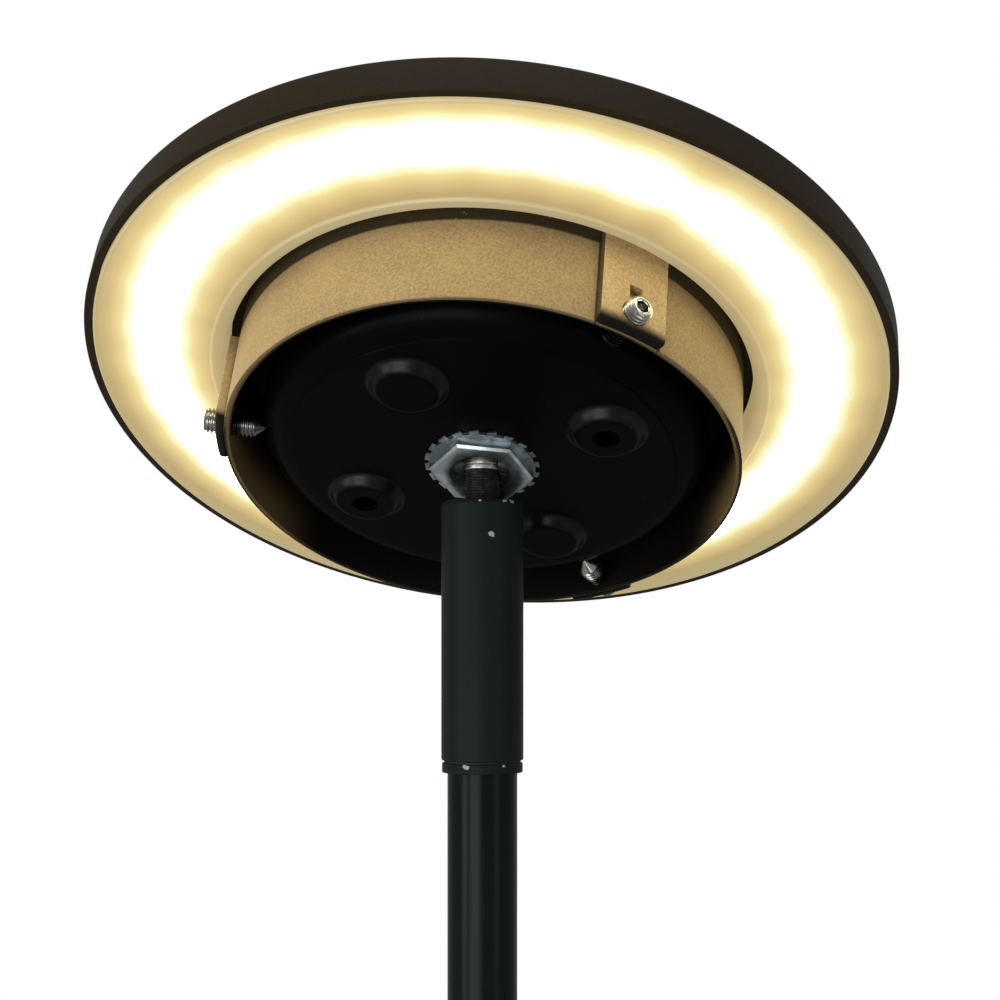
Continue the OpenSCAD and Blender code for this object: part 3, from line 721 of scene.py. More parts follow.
@dataclass(frozen=True)
class LitOpal:
    """Opal diffuser, lit from behind by a ring of LEDs."""

    name: str
    led_count: int
    led_circle: float
    lean_y: float
    reach: float = 0.020
    peak: float = 8.0
    lobe: float = 0.0005
    drift: float = 0.0014
    seam: float = -0.902
    seam_width: float = 0.10
    seam_dip: float = 0.0016
    core: Colour = (1.0, 0.9, 0.6)
    fall: "tuple[Stop, ...]" = (
        (0.275, (1.15, 1.14, 0.9)),
        (0.325, (0.87, 0.88, 0.60)),
        (0.375, (0.83, 0.81, 0.445)),
        (0.425, (0.755, 0.63, 0.275)),
        (0.50, (0.655, 0.51, 0.21)),
        (0.60, (0.525, 0.40, 0.17)),
        (0.725, (0.395, 0.30, 0.12)),
        (0.85, (0.365, 0.30, 0.15)),
        (1.00, (0.365, 0.31, 0.165)),
    )
    lip: Colour = (0.30, 0.26, 0.17)
    lip_in: Span = (0.0694, 0.0684)
    lip_out: Span = (0.0966, 0.0974)
    line_r: Span = (0.0691, 0.0976)
    line_width: Span = (0.0005, 0.0001)
    body: "tuple[Colour, Colour]" = ((0.19, 0.147, 0.077), (0.23, 0.18, 0.1))

    def make(self) -> bpy.types.Material:
        """Builds the material.

        Returns:
            The material.
        """
        web = Web.of_material(self.name)
        x, y, _ = web.head_axes()
        angle, radius = y.angle_with(x), length(x, y)
        lobe = (angle * float(self.led_count)).cosine() * 0.5 + 0.5
        drift = web.noise(22.0, 1.0) - 0.5
        gap = (angle - self.seam).size().step(self.seam_width, 0.0)
        away = (length(x, y - self.lean_y) - self.led_circle).size()
        away = away - lobe * self.lobe - drift * self.drift + gap * self.seam_dip
        stops = [(0.0, self.core), (0.18, toned(self.core, 0.8))]
        stops += [(share, toned(colour, 1 / self.peak)) for share, colour in self.fall]
        glow = web.ramp((away / self.reach).clamped(), stops)
        lip = toned(self.lip, 1 / self.peak)
        edge = (radius.step(*self.lip_in) + radius.step(*self.lip_out)) * 0.35
        inner, outer = ((radius - r).size().step(*self.line_width) for r in self.line_r)
        line = (inner + outer) * 0.22
        return web.dress(
            Base_Color=web.blend(drift + 0.5, *self.body),
            Roughness=web.noise(500.0, 2.0) * 0.08 + 0.34,
            Emission_Color=web.blend(line, web.blend(edge, glow, lip), toned(lip, 2.2)),
            Emission_Strength=self.peak,
        )


SLEEVE_MARKS = (
    (3.56, -9.35, 522.4, 0.75), (4.0, -9.2, 522.1, 0.6), (8.3, -5.6, 530.5, 0.8), (6.9, -7.3, 530.6, 0.7),
    (1.2, -9.9, 530.5, 0.6), (-2.7, -9.6, 466.7, 0.6), (-2.0, -9.8, 466.6, 0.5), (6.5, -7.6, 466.8, 0.4),
)
FINE_GRAIN = Grain(1500.0, 0.00002, 0.8, 0.6, (0.25, 0.75), 0.14)
COARSE_GRAIN = Grain(1700.0, 0.00008, 0.7, 0.7, (0.32, 0.68), 0.2)
FINISHES = {
    kind.name: kind
    for kind in (
        PowderCoat("shell_coat", (0.026, 0.018, 0.008), 0.5, 0.1, FINE_GRAIN),
        DrumCoat("drum_coat", (0.345, 0.248, 0.124), 0.62, 0.12, COARSE_GRAIN),
        BracketCoat("bracket_coat", (0.52, 0.375, 0.19), 0.62, 0.12, COARSE_GRAIN),
        StampedBlack("canopy_coat"),
        Lacquer("pole_coat", (0.010, 0.0145, 0.015), 0.42, 0.05, 0.00004, SLEEVE_MARKS),
        Lacquer("tube_coat", (0.0035, 0.0065, 0.0065), 0.25, 0.09),
        LitOpal("opal", 36, 0.0812, -0.0045),
        ZincPlate("zinc"),
        ZincPlate("dull_zinc", (0.42, 0.48, 0.51), 0.42, 0.5, 0.0001),
        ZincPlate("rough_zinc", (0.95, 0.95, 0.86), 0.40, 0.6, 0.0005),
        ShadedScrewZinc("screw_zinc", (0.36, 0.36, 0.335), 0.24),
        BlackOxide("dark_screw"),
        BlackOxide("stud_black", (0.011, 0.011, 0.012), (0.035, 0.035, 0.036), 0.3, 0.15),
        Moulded("board_white", (0.8, 0.8, 0.76), 0.45),
        Moulded("led_yellow", (0.85, 0.66, 0.2), 0.35),
        Moulded("black_rubber", (0.012, 0.012, 0.012), 0.7, 900.0),
        Moulded("black_plastic", (0.02, 0.02, 0.022), 0.5, 1100.0, 0.00006),
        Moulded("white_plastic", (0.75, 0.75, 0.73), 0.45),
        Moulded("foam", (0.16, 0.17, 0.18), 0.85, 700.0),
    )
}


@cache
def finish(name: str) -> bpy.types.Material:
    """Gives a finish's material, made on first use."""
    return FINISHES[name].make()


# Mesh tools


def rounded(corners: "list[tuple[float, float, float]]", steps: int = 5) -> "list[Point]":
    """Rounds the corners of a closed outline.

    Args:
        corners: X, Y and radius of each corner, in order.
        steps: Segments in each round.

    Returns:
        The outline's points.
    """
    points: "list[Point]" = []
    count = len(corners)
    for i, (x, y, r) in enumerate(corners):
        here = Vector((x, y))
        to_last = (Vector(corners[i - 1][:2]) - here).normalized()
        to_next = (Vector(corners[(i + 1) % count][:2]) - here).normalized()
        if r <= 0:
            points.append((x, y))
            continue
        half = to_last.angle(to_next) / 2
        centre = here + (to_last + to_next).normalized() * (r / math.sin(half))
        start = here + to_last * (r / math.tan(half)) - centre
        end = here + to_next * (r / math.tan(half)) - centre
        sweep = math.atan2(start.x * end.y - start.y * end.x, start.dot(end))
        for k in range(steps + 1):
            a = sweep * k / steps
            c, s = math.cos(a), math.sin(a)
            points.append((centre.x + start.x * c - start.y * s, centre.y + start.x * s + start.y * c))
    return points


def revolve(outline: "list[Point]", sides: int, closed: bool = True) -> bmesh.types.BMesh:
    """Turns an outline of radius and height round Z.

    Args:
        outline: The outline's points, in order.
        sides: Segments round the axis.
        closed: Whether the last point joins the first.

    Returns:
        The mesh.
    """
    bm = bmesh.new()
    rings = []
    for r, z in outline:
        if r < 1e-6:
            rings.append([bm.verts.new((0, 0, z))] * sides)
            continue
        turn = [2 * math.pi * i / sides for i in range(sides)]
        rings.append([bm.verts.new((r * math.cos(a), r * math.sin(a), z)) for a in turn])
    pairs = list(zip(rings, rings[1:]))
    if closed:
        pairs.append((rings[-1], rings[0]))
    for low, high in pairs:
        for i in range(sides):
            j = (i + 1) % sides
            loop = list(dict.fromkeys((low[i], low[j], high[j], high[i])))
            if len(loop) > 2:
                bm.faces.new(loop)
    bmesh.ops.recalc_face_normals(bm, faces=bm.faces)
    return bm


def prism(outline: "list[Point]", low: float, high: float) -> bmesh.types.BMesh:
    """Raises a flat outline along Z.

    Args:
        outline: The outline's points, in order.
        low: The lower height.
        high: The upper height.

    Returns:
        The mesh.
    """
    bm = bmesh.new()
    floor = [bm.verts.new((x, y, low)) for x, y in outline]
    roof = [bm.verts.new((x, y, high)) for x, y in outline]
    bm.faces.new(floor)
    bm.faces.new(roof)
    for i in range(len(outline)):
        j = (i + 1) % len(outline)
        bm.faces.new((floor[i], floor[j], roof[j], roof[i]))
    bmesh.ops.recalc_face_normals(bm, faces=bm.faces)
    return bm


def merged(parts: "list[bmesh.types.BMesh]") -> bmesh.types.BMesh:
    """Joins meshes into one.

    Args:
        parts: The meshes, which are used up.

    Returns:
        One mesh.
    """
    whole = bmesh.new()
    for part in parts:
        mesh = bpy.data.meshes.new("part")
        part.to_mesh(mesh)
        part.free()
        whole.from_mesh(mesh)
        bpy.data.meshes.remove(mesh)
    return whole


def moved(bm: bmesh.types.BMesh, matrix: Matrix) -> bmesh.types.BMesh:
    """Moves a mesh by a matrix and gives it back."""
    bmesh.ops.transform(bm, matrix=matrix, verts=bm.verts)
    return bm


def about_z(degrees: float) -> Matrix:
    """Gives a turn about Z."""
    return Matrix.Rotation(math.radians(degrees), 4, "Z")


def bore(radius: float, low: float, high: float, sides: int = 40) -> bmesh.types.BMesh:
    """Makes a plain pin to cut a round hole with."""
    return revolve([(0, low), (radius, low), (radius, high), (0, high)], sides, closed=False)


def laid(start: float, height: float, turn: float) -> Matrix:
    """Gives the frame of a rod that points away from Z.

    Args:
        start: The rod's start, out from Z.
        height: Its height.
        turn: Its direction, in degrees.

    Returns:
        The frame, with the rod along its own Z.
    """
    lie = Matrix.Translation((start, 0, height)) @ Matrix.Rotation(math.pi / 2, 4, "Y")
    return about_z(turn) @ lie


def loose(bm: bmesh.types.BMesh, name: str) -> bpy.types.Object:
    """Puts a mesh in the scene as an object.

    Args:
        bm: The mesh, which is used up.
        name: The object's name.

    Returns:
        The object.
    """
    mesh = bpy.data.meshes.new(name)
    bm.to_mesh(mesh)
    bm.free()
    thing = bpy.data.objects.new(name, mesh)
    bpy.context.scene.collection.objects.link(thing)
    return thing


def applied(thing: bpy.types.Object) -> bpy.types.Object:
    """Bakes an object's modifiers into its mesh.

    Args:
        thing: The object.

    Returns:
        The same object, with no modifiers.
    """
    bpy.context.view_layer.update()
    graph = bpy.context.evaluated_depsgraph_get()
    mesh = bpy.data.meshes.new_from_object(thing.evaluated_get(graph))
    old = thing.data
    thing.modifiers.clear()
    thing.data = mesh
    bpy.data.meshes.remove(old)
    return thing


def taken(things: "list[bpy.types.Object]") -> bmesh.types.BMesh:
    """Takes the first object's mesh, and clears all the objects away.

    Args:
        things: The objects.

    Returns:
        The mesh.
    """
    bm = bmesh.new()
    bm.from_mesh(things[0].data)
    for scrap in things:
        mesh = scrap.data
        bpy.data.objects.remove(scrap)
        bpy.data.meshes.remove(mesh)
    return bm


def cut(bm: bmesh.types.BMesh, tools: "list[bmesh.types.BMesh]") -> bmesh.types.BMesh:
    """Cuts meshes out of a mesh.

    Args:
        bm: The mesh to cut, which is used up.
        tools: The meshes to take away, which are used up.

    Returns:
        What is left.
    """
    thing = loose(bm, "blank")
    knives = [loose(tool, "knife") for tool in tools]
    for knife in knives:
        change = thing.modifiers.new("cut", "BOOLEAN")
        change.operation, change.solver, change.object = "DIFFERENCE", "EXACT", knife
    return taken([applied(thing), *knives])


def bevelled(
    bm: bmesh.types.BMesh, width: float, segments: int = 2, angle: float = 35.0,
) -> bmesh.types.BMesh:
    """Rounds a mesh's sharp edges.

    Args:
        bm: The mesh, which is used up.
        width: The bevel's width.
        segments: Segments across it.
        angle: The least angle, in degrees, of an edge that it rounds.

    Returns:
        The rounded mesh.
    """
    thing = loose(bm, "blank")
    change = thing.modifiers.new("round", "BEVEL")
    change.width, change.segments, change.limit_method = width, segments, "ANGLE"
    change.angle_limit = math.radians(angle)
    change.use_clamp_overlap = True
    return taken([applied(thing)])


def hexagon(across_flats: float, turn: float = 0.0) -> "list[Point]":
    """Gives a hexagon's corners.

    Args:
        across_flats: Its size across flats.
        turn: The first corner's direction, in degrees.

    Returns:
        The corners, in order.
    """
    r = across_flats / 2 / math.cos(math.pi / 6)
    turns = [math.radians(turn + 60 * i) for i in range(6)]
    return [(r * math.cos(a), r * math.sin(a)) for a in turns]


def threaded(radius: float, low: float, high: float, pitch: float, depth: float) -> "list[Point]":
    """Gives the outline of a shaft with thread ridges, from low to high.

    Args:
        radius: The thread's outer radius.
        low: The lower end.
        high: The upper end.
        pitch: The distance between ridges.
        depth: The ridges' depth.

    Returns:
        Radius and height of each point, upward.
    """
    count = max(1, round((high - low) / pitch))
    step = (high - low) / count
    points = []
    for i in range(count):
        z = low + i * step
        shape = ((0.0, depth), (0.12, depth), (0.4, 0.0), (0.6, 0.0), (0.88, depth))
        points += [(radius - drop, z + share * step) for share, drop in shape]
    return points + [(radius - depth, high)]


@dataclass
class Assembly:
    """A group of pieces on one body."""

    body: Body = Body.HEAD

    def stand(
        self, name: str, bm: bmesh.types.BMesh, slot: str, nodes: "tuple[str, ...]" = (),
        matrix: Matrix = HEAD, smooth: float = 32.0, look: Look = Look.SLOT,
    ) -> bpy.types.Object:
        """Puts a finished piece, drawn in millimetres, on the body.

        Args:
            name: The piece's name.
            bm: Its mesh, which is used up.
            slot: Its material slot.
            nodes: The CAD nodes that it stands for.
            matrix: The frame it is drawn in.
            smooth: The angle in degrees over which an edge stays sharp.
            look: The finish, if it isn't the slot's own.

        Returns:
            The piece.
        """
        moved(bm, matrix @ Matrix.Scale(MM, 4))
        thing = loose(bm, name)
        for polygon in thing.data.polygons:
            polygon.use_smooth = True
        thing.data.set_sharp_from_angle(angle=math.radians(smooth))
        thing.data.materials.append(finish(look.value or slot))
        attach(thing, self.body.value)
        if nodes:
            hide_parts(*nodes)
        LOG.info("%s: %d faces", name, len(thing.data.polygons))
        return thing

    def dress(self, *nodes: str, look: Look = Look.SLOT) -> None:
        """Gives CAD nodes their finish and leaves their shape.

        Args:
            *nodes: The nodes' names.
            look: The finish, if it isn't the slot's own.
        """
        for node in nodes:
            thing = frame["nodes"][node]
            if not thing.material_slots:
                thing.data.materials.append(None)
            for place in thing.material_slots:
                place.material = finish(look.value or SLOTS[node])
            LOG.info("%s: dressed as %s", node, SLOTS[node])


# Sub-assemblies


@dataclass
class LightRing(Assembly):
    """Shell, LED board, LEDs, diffuser and seals."""

    shell_r: float = 100.0
    low_z: float = 20.6
    top_z: float = 31.1
    wall: float = 2.0
    edge_r: float = 2.0
    crown_rise: float = 3.0
    crown_r: float = 60.0
    recess_r: float = 53.1
    in_r: float = 65.2
    out_r: float = 97.8
    face_z: float = 20.1
    lip_w: float = 2.4
    lip_h: float = 0.6
    dish: float = 0.5
    skirt: float = 1.5
    skirt_top: float = 28.1

    def shell(self) -> None:
        """Builds the round shell with its rim wall."""
        plate_z, rise = self.top_z - self.wall, self.crown_rise
        r, edge = self.shell_r - self.edge_r, self.edge_r
        arc = [math.pi / 2 * k / 8 for k in range(9)]
        edge_round = [(r + edge * math.sin(a), self.top_z - edge + edge * math.cos(a), 0.0) for a in arc]
        outline = rounded([
            (0.0, self.top_z + rise, 0), (self.crown_r, self.top_z + rise, 30.0), *edge_round,
            (self.shell_r, self.low_z, 0.35), (self.shell_r - self.wall, self.low_z, 0.35),
            (self.shell_r - self.wall, plate_z, 0.3), (self.recess_r, plate_z, 0.3),
            (self.recess_r - rise, plate_z + rise, 0.3), (0.0, plate_z + rise, 0),
        ], 6)
        self.stand("shell_skin", revolve(outline, 360, closed=False), "shell_coat", ("shell",))

    def diffuser(self) -> None:
        """Builds the opal ring with its raised lips and skirts."""
        lip, skirt, top = self.lip_w, self.skirt, self.skirt_top
        mid = (self.in_r + self.out_r) / 2
        half = (self.out_r - self.in_r) / 2 - lip
        steps = 14
        face = []
        for k in range(steps + 1):
            t = -1 + 2 * k / steps
            face.append((mid + half * t, self.face_z + self.lip_h - self.dish * (1 - t * t), 0.0))
        outline = rounded([
            (self.in_r, self.face_z, 2.9), (self.in_r + lip + 1.4, self.face_z, 0.25),
            (face[1][0], face[1][1] + 0.06, 0.25), *face[2:-2],
            (face[-2][0], face[-2][1] + 0.06, 0.25), (self.out_r - lip, self.face_z, 0.25),
            (self.out_r, self.face_z, 0.5), (self.out_r, top, 0.1), (self.out_r - skirt, top, 0.1),
            (self.out_r - skirt, self.face_z + 2, 0.6), (self.in_r + skirt + 1.0, self.face_z + 2, 0.8),
            (self.in_r + skirt, self.face_z + 3.2, 0.3), (self.in_r + skirt, top, 0.1),
            (self.in_r, top, 0.1),
        ])
        self.stand("opal_ring", revolve(outline, 360), "opal", ("diffuser",), smooth=50.0)

    def build(self) -> None:
        """Builds the ring."""
        self.shell()
        self.diffuser()
        self.dress("led_board", "leds", "board_screws", "outer_seal", "inner_seal")


@dataclass
class DrumAndBrackets(Assembly):
    """Drum, its brackets and the cone-point grub screws."""

    drum_r: float = 62.8
    wall: float = 1.5
    flange_w: float = 8.0
    flange_t: float = 2.0
    rim_z: float = -1.5
    top_z: float = 29.1
    hole_r: float = 3.06
    screw_z: float = 3.1
    screw_d: float = 6.0
    screw_l: float = 15.0
    cone: float = 2.8
    tip_r: float = 52.96
    bracket_w: float = 16.5
    bracket_t: float = 2.2
    bracket_low: float = -1.8
    foot_r: float = 2.0
    bracket_top: float = 23.1
    slot: Point = (3.2, 3.6)
    slot_gap: float = 0.8
    thread_depth: float = 0.5
    key: float = 3.0
    key_depth: float = 3.5

    def drum(self) -> None:
        """Builds the drum with its inner flange and the screw holes."""
        r, low, top = self.drum_r, self.rim_z, self.top_z
        inner, ledge = r - self.wall, top - self.flange_t
        flange_r = inner - self.flange_w
        outline = rounded([
            (r, low, 0.35), (r, top, 0.1), (flange_r, top, 0.3), (flange_r, ledge, 0.3),
            (inner, ledge, 0.6), (inner, low, 0.35),
        ])
        holes = [moved(bore(self.hole_r, 50, 70), laid(0, self.screw_z, turn)) for turn in CLAMP_TURNS]
        body = cut(revolve(outline, 300), holes)
        self.stand("drum_wall", body, "drum_coat", ("drum",))

    def bracket(self, number: int, turn: float) -> None:
        """Builds a bracket plate, rolled round the drum.

        Args:
            number: The bracket's number.
            turn: Its direction, in degrees.
        """
        low, high, half = self.bracket_low, self.bracket_top, self.bracket_w / 2
        corners = [(-half, low, 1.0), (half, low, 1.0), (half, high, 0.2), (-half, high, 0.2)]
        plate = prism(rounded(corners, 6), 0.0, self.bracket_t)
        w, slot_low = self.slot[0] / 2, self.screw_z + self.screw_d / 2 + self.slot_gap
        slot_high = slot_low + self.slot[1]
        slot = prism(rounded([
            (-w, slot_low, 0.3), (w, slot_low, 0.3), (w, slot_high, 0.3), (-w, slot_high, 0.3),
        ], 3), -1.0, self.bracket_t + 1.0)
        hole = moved(bore(self.hole_r, -1, 4), Matrix.Translation((0, self.screw_z, 0)))
        plate = bevelled(cut(plate, [slot, hole]), 0.22)
        rows = [low + self.foot_r * (1 - math.cos(math.pi / 2 * k / 8)) for k in range(1, 9)]
        planes = [((float(x), 0, 0), (1, 0, 0)) for x in range(-8, 9)]
        planes += [((0, row, 0), (0, 1, 0)) for row in rows]
        for at, normal in planes:
            geom = [*plate.verts, *plate.edges, *plate.faces]
            bmesh.ops.bisect_plane(plate, geom=geom, plane_co=at, plane_no=normal)
        for vert in plate.verts:
            across, up, out = vert.co
            drop = min(self.foot_r, max(0.0, low + self.foot_r - up))
            out = min(out, self.bracket_t - self.foot_r + math.sqrt(self.foot_r**2 - drop**2))
            radius = self.drum_r + out
            angle = across / self.drum_r
            vert.co = (radius * math.cos(angle), radius * math.sin(angle), up)
        bmesh.ops.recalc_face_normals(plate, faces=plate.faces)
        name = f"bracket_{number}"
        self.stand(f"{name}_plate", moved(plate, about_z(turn)), "drum_coat", (name,), look=Look.BRACKET)

    def grub_screws(self) -> None:
        """Builds the threaded grub screws with cone points and hex sockets."""
        r = self.screw_d / 2
        end = self.screw_l
        outline = [(0.0, 0.0), (0.3, 0.0), (r - 0.35, self.cone - 0.1)]
        outline += threaded(r, self.cone + 0.15, end - 0.5, 1.0, self.thread_depth)
        outline += [(r - 0.3, end - 0.2), (r - 0.6, end), (2.0, end), (1.73, end - 0.25), (0, end - 0.25)]
        screws = []
        for turn in CLAMP_TURNS:
            key = prism(hexagon(self.key), end - self.key_depth, end + 1.0)
            screw = cut(revolve(outline, 64, closed=False), [key])
            screws.append(moved(screw, laid(self.tip_r, self.screw_z, turn)))
        whole = merged(screws)
        self.stand("grub_screws_cut", whole, "zinc", ("grub_screws",), smooth=40.0, look=Look.SCREW)

    def build(self) -> None:
        """Builds the drum, brackets and screws."""
        self.drum()
        for number, turn in enumerate(CLAMP_TURNS, 1):
            self.bracket(number, turn)
        self.grub_screws()
        self.dress("flange_screws")


@dataclass
class Canopy(Assembly):
    """The stamped canopy cup with its bosses, and what sits inside it."""

    cup_r: float = 54.5
    face_r: float = 47.0
    face_z: float = -0.2
    face_step: float = 0.5
    shoulder_r: float = 7.5
    height: float = 22.0
    sheet: float = 1.5
    rim_h: float = 4.0
    socket_r: float = 9.1
    boss_root_r: float = 9.4
    boss_top_r: float = 7.4
    boss_blend: float = 0.5
    boss_h: float = 2.6
    hole_r: float = 3.25

    def lift(self, x: float, y: float) -> float:
        """Gives how far the bosses push the face out at a point.

        Args:
            x: Across.
            y: Along.

        Returns:
            The height, in millimetres, toward -Z.
        """
        best = 0.0
        foot = self.boss_root_r + self.boss_blend
        width = self.boss_root_r - self.boss_top_r + 2 * self.boss_blend
        for a in map(math.radians, BOSS_TURNS):
            away = math.hypot(x - BOSS_CIRCLE * math.cos(a), y - BOSS_CIRCLE * math.sin(a))
            t = min(1.0, max(0.0, (foot - away) / width))
            best = max(best, self.boss_h * t * t * (3 - 2 * t))
        return best

    def cup(self) -> None:
        """Builds the cup as one pressed sheet."""
        low, top, r = self.face_z, self.face_z + self.height, self.shoulder_r
        step_z = low + self.face_step
        shoulder_z, centre_r = step_z + r, self.cup_r - r
        outer = [(self.socket_r, low)]
        outer += [(half / 2, low) for half in range(20, 92)]
        outer += rounded([
            (self.face_r - 1, low, 0), (self.face_r, low, 0.3),
            (self.face_r + 0.1, step_z, 0.25), (self.face_r + 0.5, step_z, 0),
        ], 3)
        for a in (math.pi / 2 * k / 12 for k in range(1, 13)):
            outer.append((centre_r + r * math.sin(a), shoulder_z - r * math.cos(a)))
        outer += [(self.cup_r, shoulder_z + self.rim_h), (self.cup_r, top - 0.4), (self.cup_r - 0.4, top)]
        inner = []
        for out, z in outer:
            if out <= self.face_r:
                inner.append((out, z + self.sheet))
            elif z < shoulder_z:
                lean = math.atan2(out - centre_r, shoulder_z - z)
                inner.append((out - self.sheet * math.sin(lean), z + self.sheet * math.cos(lean)))
            elif z < top - 1:
                inner.append((out - self.sheet, z))
        inner.append((self.cup_r - self.sheet, top))
        cup = revolve(outer + inner[::-1], 480)
        for vert in cup.verts:
            if vert.co.z < low + self.sheet + 0.1:
                vert.co.z -= self.lift(vert.co.x, vert.co.y)
        holes = []
        for a in map(math.radians, BOSS_TURNS[1::2]):
            at = (BOSS_CIRCLE * math.cos(a), BOSS_CIRCLE * math.sin(a), 0)
            holes.append(moved(bore(self.hole_r, -9, 5, 48), Matrix.Translation(at)))
        self.stand("canopy_cup", cut(cup, holes), "canopy_coat", ("canopy",), smooth=38.0)

    def build(self) -> None:
        """Builds the canopy."""
        self.cup()
        self.dress("driver", "terminal_block", "adhesive_pads")


@dataclass
class Swivel(Assembly):
    """Nut, lock washer, socket, pivot pins and the stud with its knuckle."""

    face_drop: float = 3.6
    thread_r: float = 9.02
    nut_af: float = 22.04
    nut_t: float = 2.6
    nut_turn: float = 11.0
    bevel: float = 0.6
    lip: float = 0.9
    knuckle_r: float = 4.5
    knuckle_w: float = 8.6
    knuckle_drop: float = 1.7
    stud_thread_r: float = 4.2
    tail_r: float = 4.0
    ledge_z: float = -13.24
    end_z: float = -26.24
    bore_r: float = 2.3
    corner_r: float = 0.6
    stud_pitch: Point = (0.75, 1.0)
    stud_depth: Point = (0.17, 0.3)

    def swing_r(self, depth: float) -> float:
        """Gives the clear radius that the stud's swing needs at a depth."""
        return depth * math.tan(LEAN) + self.knuckle_r / math.cos(LEAN) + 0.25

    def nut(self) -> None:
        """Builds the hex nut with its bevelled face."""
        r_corner = self.nut_af / 2 / math.cos(math.pi / 6)
        low = -self.face_drop
        block = prism(hexagon(self.nut_af, self.nut_turn), low, low + self.nut_t)
        for height in (0.12, self.bevel):
            geom = [*block.verts, *block.edges, *block.faces]
            bmesh.ops.bisect_plane(block, geom=geom, plane_co=(0, 0, low + height), plane_no=(0, 0, 1))
        for vert in block.verts:
            drawn = 1 - max(0.0, self.bevel - (vert.co.z - low)) / r_corner
            vert.co.x *= drawn
            vert.co.y *= drawn
        mouth, inner = self.swing_r(self.face_drop), self.swing_r(self.face_drop - self.lip)
        thread_r, lip_z = self.thread_r + 0.06, low + self.lip
        mouth_cut = revolve([
            (0, low - 1), (mouth + 0.25, low - 1), (mouth + 0.25, low), (mouth, low + 0.2), (inner, lip_z),
            (thread_r, lip_z), (thread_r, low + 5), (0, low + 5),
        ], 96, closed=False)
        corner_cut = revolve([
            (r_corner - self.corner_r, low - 0.01), (r_corner + 1, low - 0.01),
            (r_corner + 1, low + self.corner_r), (r_corner, low + self.corner_r),
        ], 96)
        nut = cut(block, [mouth_cut, corner_cut])
        self.stand("hex_nut_cut", bevelled(nut, 0.14, 2, 25.0), "zinc", ("hex_nut",), smooth=40.0)

    def stud(self) -> None:
        """Builds the stud: its bright knuckle and its dark thread."""
        r, low = self.knuckle_r, -self.knuckle_drop
        start = math.asin(self.bore_r / r)
        dome = [start + (math.pi / 2 - start) * k / 12 for k in range(13)]
        outline = [(r * math.sin(a), r * math.cos(a)) for a in dome]
        outline += [(r, -0.25), (r - 0.14, -0.4), (r, -0.55)]
        outline += [(r, low + 0.2), (r - 0.2, low), (self.bore_r, low)]
        sides = []
        for side in (-1, 1):
            x = side * self.knuckle_w / 2
            corners = [(x, -6.0), (x, 6.0), (x + side * 3, 6.0), (x + side * 3, -6.0)]
            sides.append(prism(corners, -5.0, 8.0))
        place = Matrix.Translation((0, 0, PIVOT_Z))
        knuckle = bevelled(cut(revolve(outline, 96), sides), 0.1, 2, 30.0)
        self.stand("knuckle_cut", knuckle, "zinc", ("swivel_stud",), place, look=Look.KNUCKLE)
        top = low - 0.02
        dark = threaded(self.stud_thread_r, self.ledge_z, top, self.stud_pitch[0], self.stud_depth[0])
        tail_top = self.ledge_z - 0.01
        tail = threaded(self.tail_r, self.end_z, tail_top, self.stud_pitch[1], self.stud_depth[1])
        thread = revolve([(self.bore_r, self.end_z), *tail, *dark, (self.bore_r, top)], 72)
        self.stand("stud_thread", thread, "dark_screw", ("swivel_stud",), place, look=Look.THREAD)

    def build(self) -> None:
        """Builds the swivel."""
        self.nut()
        self.dress("lock_washer", look=Look.WASHER)
        self.dress("swivel_socket", "pivot_pins", "friction_pads", "socket_cap")
        stem = Swivel(Body.STEM)
        stem.stud()
        stem.dress("stud_washer", "stud_nut")


@dataclass
class Pole(Assembly):
    """Sleeve, collar, tube, hub and spike."""

    body: Body = Body.POLE

    def build(self) -> None:
        """Dresses the pole's pieces."""
        self.dress("sleeve", "groove_ring", "collar", "tube", "pole_screws")
        self.dress("hub", "hub_screws", "cable_grommet", "spike", "spike_bolt", "spike_nut")


# Studio


@dataclass(frozen=True)
class Lamp:
    """A soft rectangular lamp that faces the head."""

    name: str
    at: Place
    size: Point
    watts: float

    def hang(self) -> None:
        """Puts the lamp in the scene."""
        data = bpy.data.lights.new(self.name, "AREA")
        data.shape, data.size, data.size_y, data.energy = "RECTANGLE", *self.size, self.watts
        thing = bpy.data.objects.new(self.name, data)
        thing.location = self.at
        aim = Vector((0, 0, PIVOT_Z - 0.05)) - Vector(self.at)
        thing.rotation_euler = aim.to_track_quat("-Z", "Y").to_euler()
        bpy.context.scene.collection.objects.link(thing)


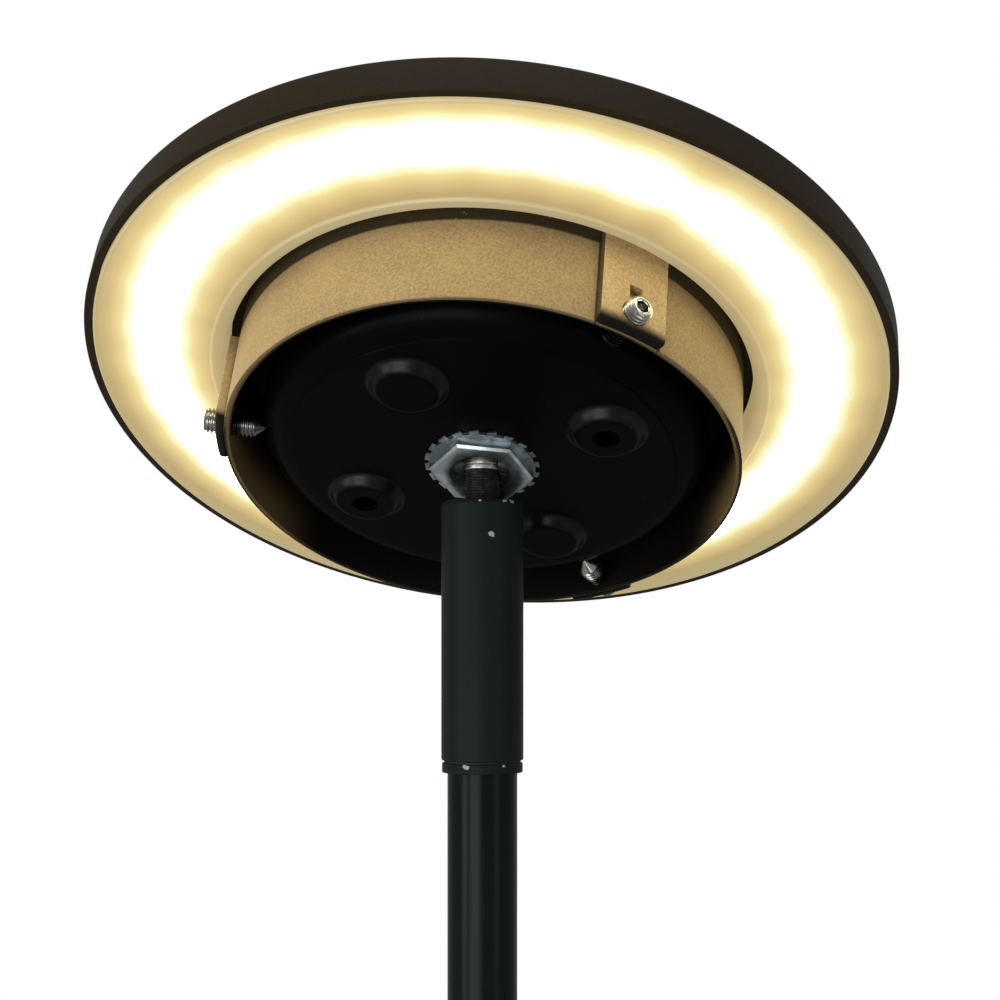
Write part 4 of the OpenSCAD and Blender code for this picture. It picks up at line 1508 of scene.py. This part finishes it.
@dataclass
class Studio:
    """Camera, soft lamps, white background and pale floor."""

    camera_at: Place = (0.0737, -0.432, PIVOT_Z - 0.0425)
    looking: Point = (-0.1473, 0.989)
    lens: float = 64.8
    shift: Point = (-0.0204, 0.138)
    floor_z: float = -0.190
    floor_grey: float = 0.9
    floor_glow: float = 0.42
    floor_fade: Span = (0.5, 1.5)
    fill: float = 0.1
    mirrored: float = 0.4
    lamps: "tuple[Lamp, ...]" = (
        Lamp("left_panel", (-0.9, -0.75, 0.65), (0.35, 1.1), 5.0),
        Lamp("right_panel", (0.95, -0.6, 0.7), (0.35, 1.1), 1.6),
        Lamp("front_panel", (-0.33, -1.24, 0.22), (0.8, 0.6), 6.5),
        Lamp("top_panel", (0.1, -0.3, 1.6), (1.2, 1.2), 4.0),
    )

    def camera(self) -> None:
        """Places the camera."""
        data = bpy.data.cameras.new("camera")
        data.lens, data.sensor_width = self.lens, 36.0
        data.shift_x, data.shift_y = self.shift
        data.clip_start, data.clip_end = 0.01, 50.0
        thing = bpy.data.objects.new("camera", data)
        thing.location = self.camera_at
        thing.rotation_euler = (math.pi / 2, 0, -math.atan2(self.looking[0], self.looking[1]))
        bpy.context.scene.collection.objects.link(thing)
        bpy.context.scene.camera = thing

    def world(self) -> None:
        """Makes the background white, its reflection grey, and its light on the object soft."""
        web = Web(bpy.data.worlds.new("studio"))
        bpy.context.scene.world = web.owner
        path = web.add("ShaderNodeLightPath")
        strength: "Signal | float" = self.fill
        for ray, share in (("Glossy", self.mirrored), ("Transmission", 1.0), ("Camera", 1.0)):
            inputs = {"Factor": path.out(f"Is {ray} Ray"), "A": strength, "B": share}
            strength = web.add("ShaderNodeMix", {}, inputs).out("Result")
        web.dress(Color=(1.0, 1.0, 1.0), Strength=strength)

    def floor(self) -> None:
        """Lays a pale round floor that fades into the background, and is clear from below."""
        flat = revolve([(0, 0), (0.4, 0), (0.8, 0), (1.6, 0)], 96, closed=False)
        flat.normal_update()
        if next(iter(flat.faces)).normal.z < 0:
            bmesh.ops.reverse_faces(flat, faces=flat.faces)
        disc = loose(flat, "floor")
        disc.location.z = self.floor_z - 0.0005
        web = Web.of_material("pale_floor")
        x, y, _ = web.axes(web.place)
        under = web.add("ShaderNodeNewGeometry").out("Backfacing")
        fade = length(x, y).step(*self.floor_fade).most(under)
        clear = web.add("ShaderNodeBsdfTransparent").out()
        seen = web.add("ShaderNodeLightPath").out("Is Camera Ray")
        web.dress(
            Base_Color=(self.floor_grey,) * 3, Roughness=0.8, Specular_IOR_Level=0.1,
            Emission_Color=web.blend(seen, (0.0,) * 3, (self.floor_glow,) * 3), Emission_Strength=1.0,
        )
        pale = Signal(web, web.shader.outputs[0])
        mix = web.add("ShaderNodeMixShader", {}, {0: fade, 1: pale, 2: clear}).out()
        out = next(n for n in web.tree.nodes if n.type == "OUTPUT_MATERIAL")
        web.feed(out.inputs[0], mix)
        disc.data.materials.append(web.owner)

    def build(self) -> None:
        """Builds the studio."""
        self.camera()
        self.world()
        self.floor()
        for lamp in self.lamps:
            lamp.hang()
        bpy.context.scene.view_settings.view_transform = "Standard"


def main() -> None:
    """Builds the light and the studio round it."""
    logging.basicConfig(level=logging.INFO, format="%(message)s")
    for group in (LightRing(), DrumAndBrackets(), Canopy(), Swivel(), Pole(), Studio()):
        LOG.info("building %s", type(group).__name__)
        group.build()


if __name__ == "__main__":
    main()
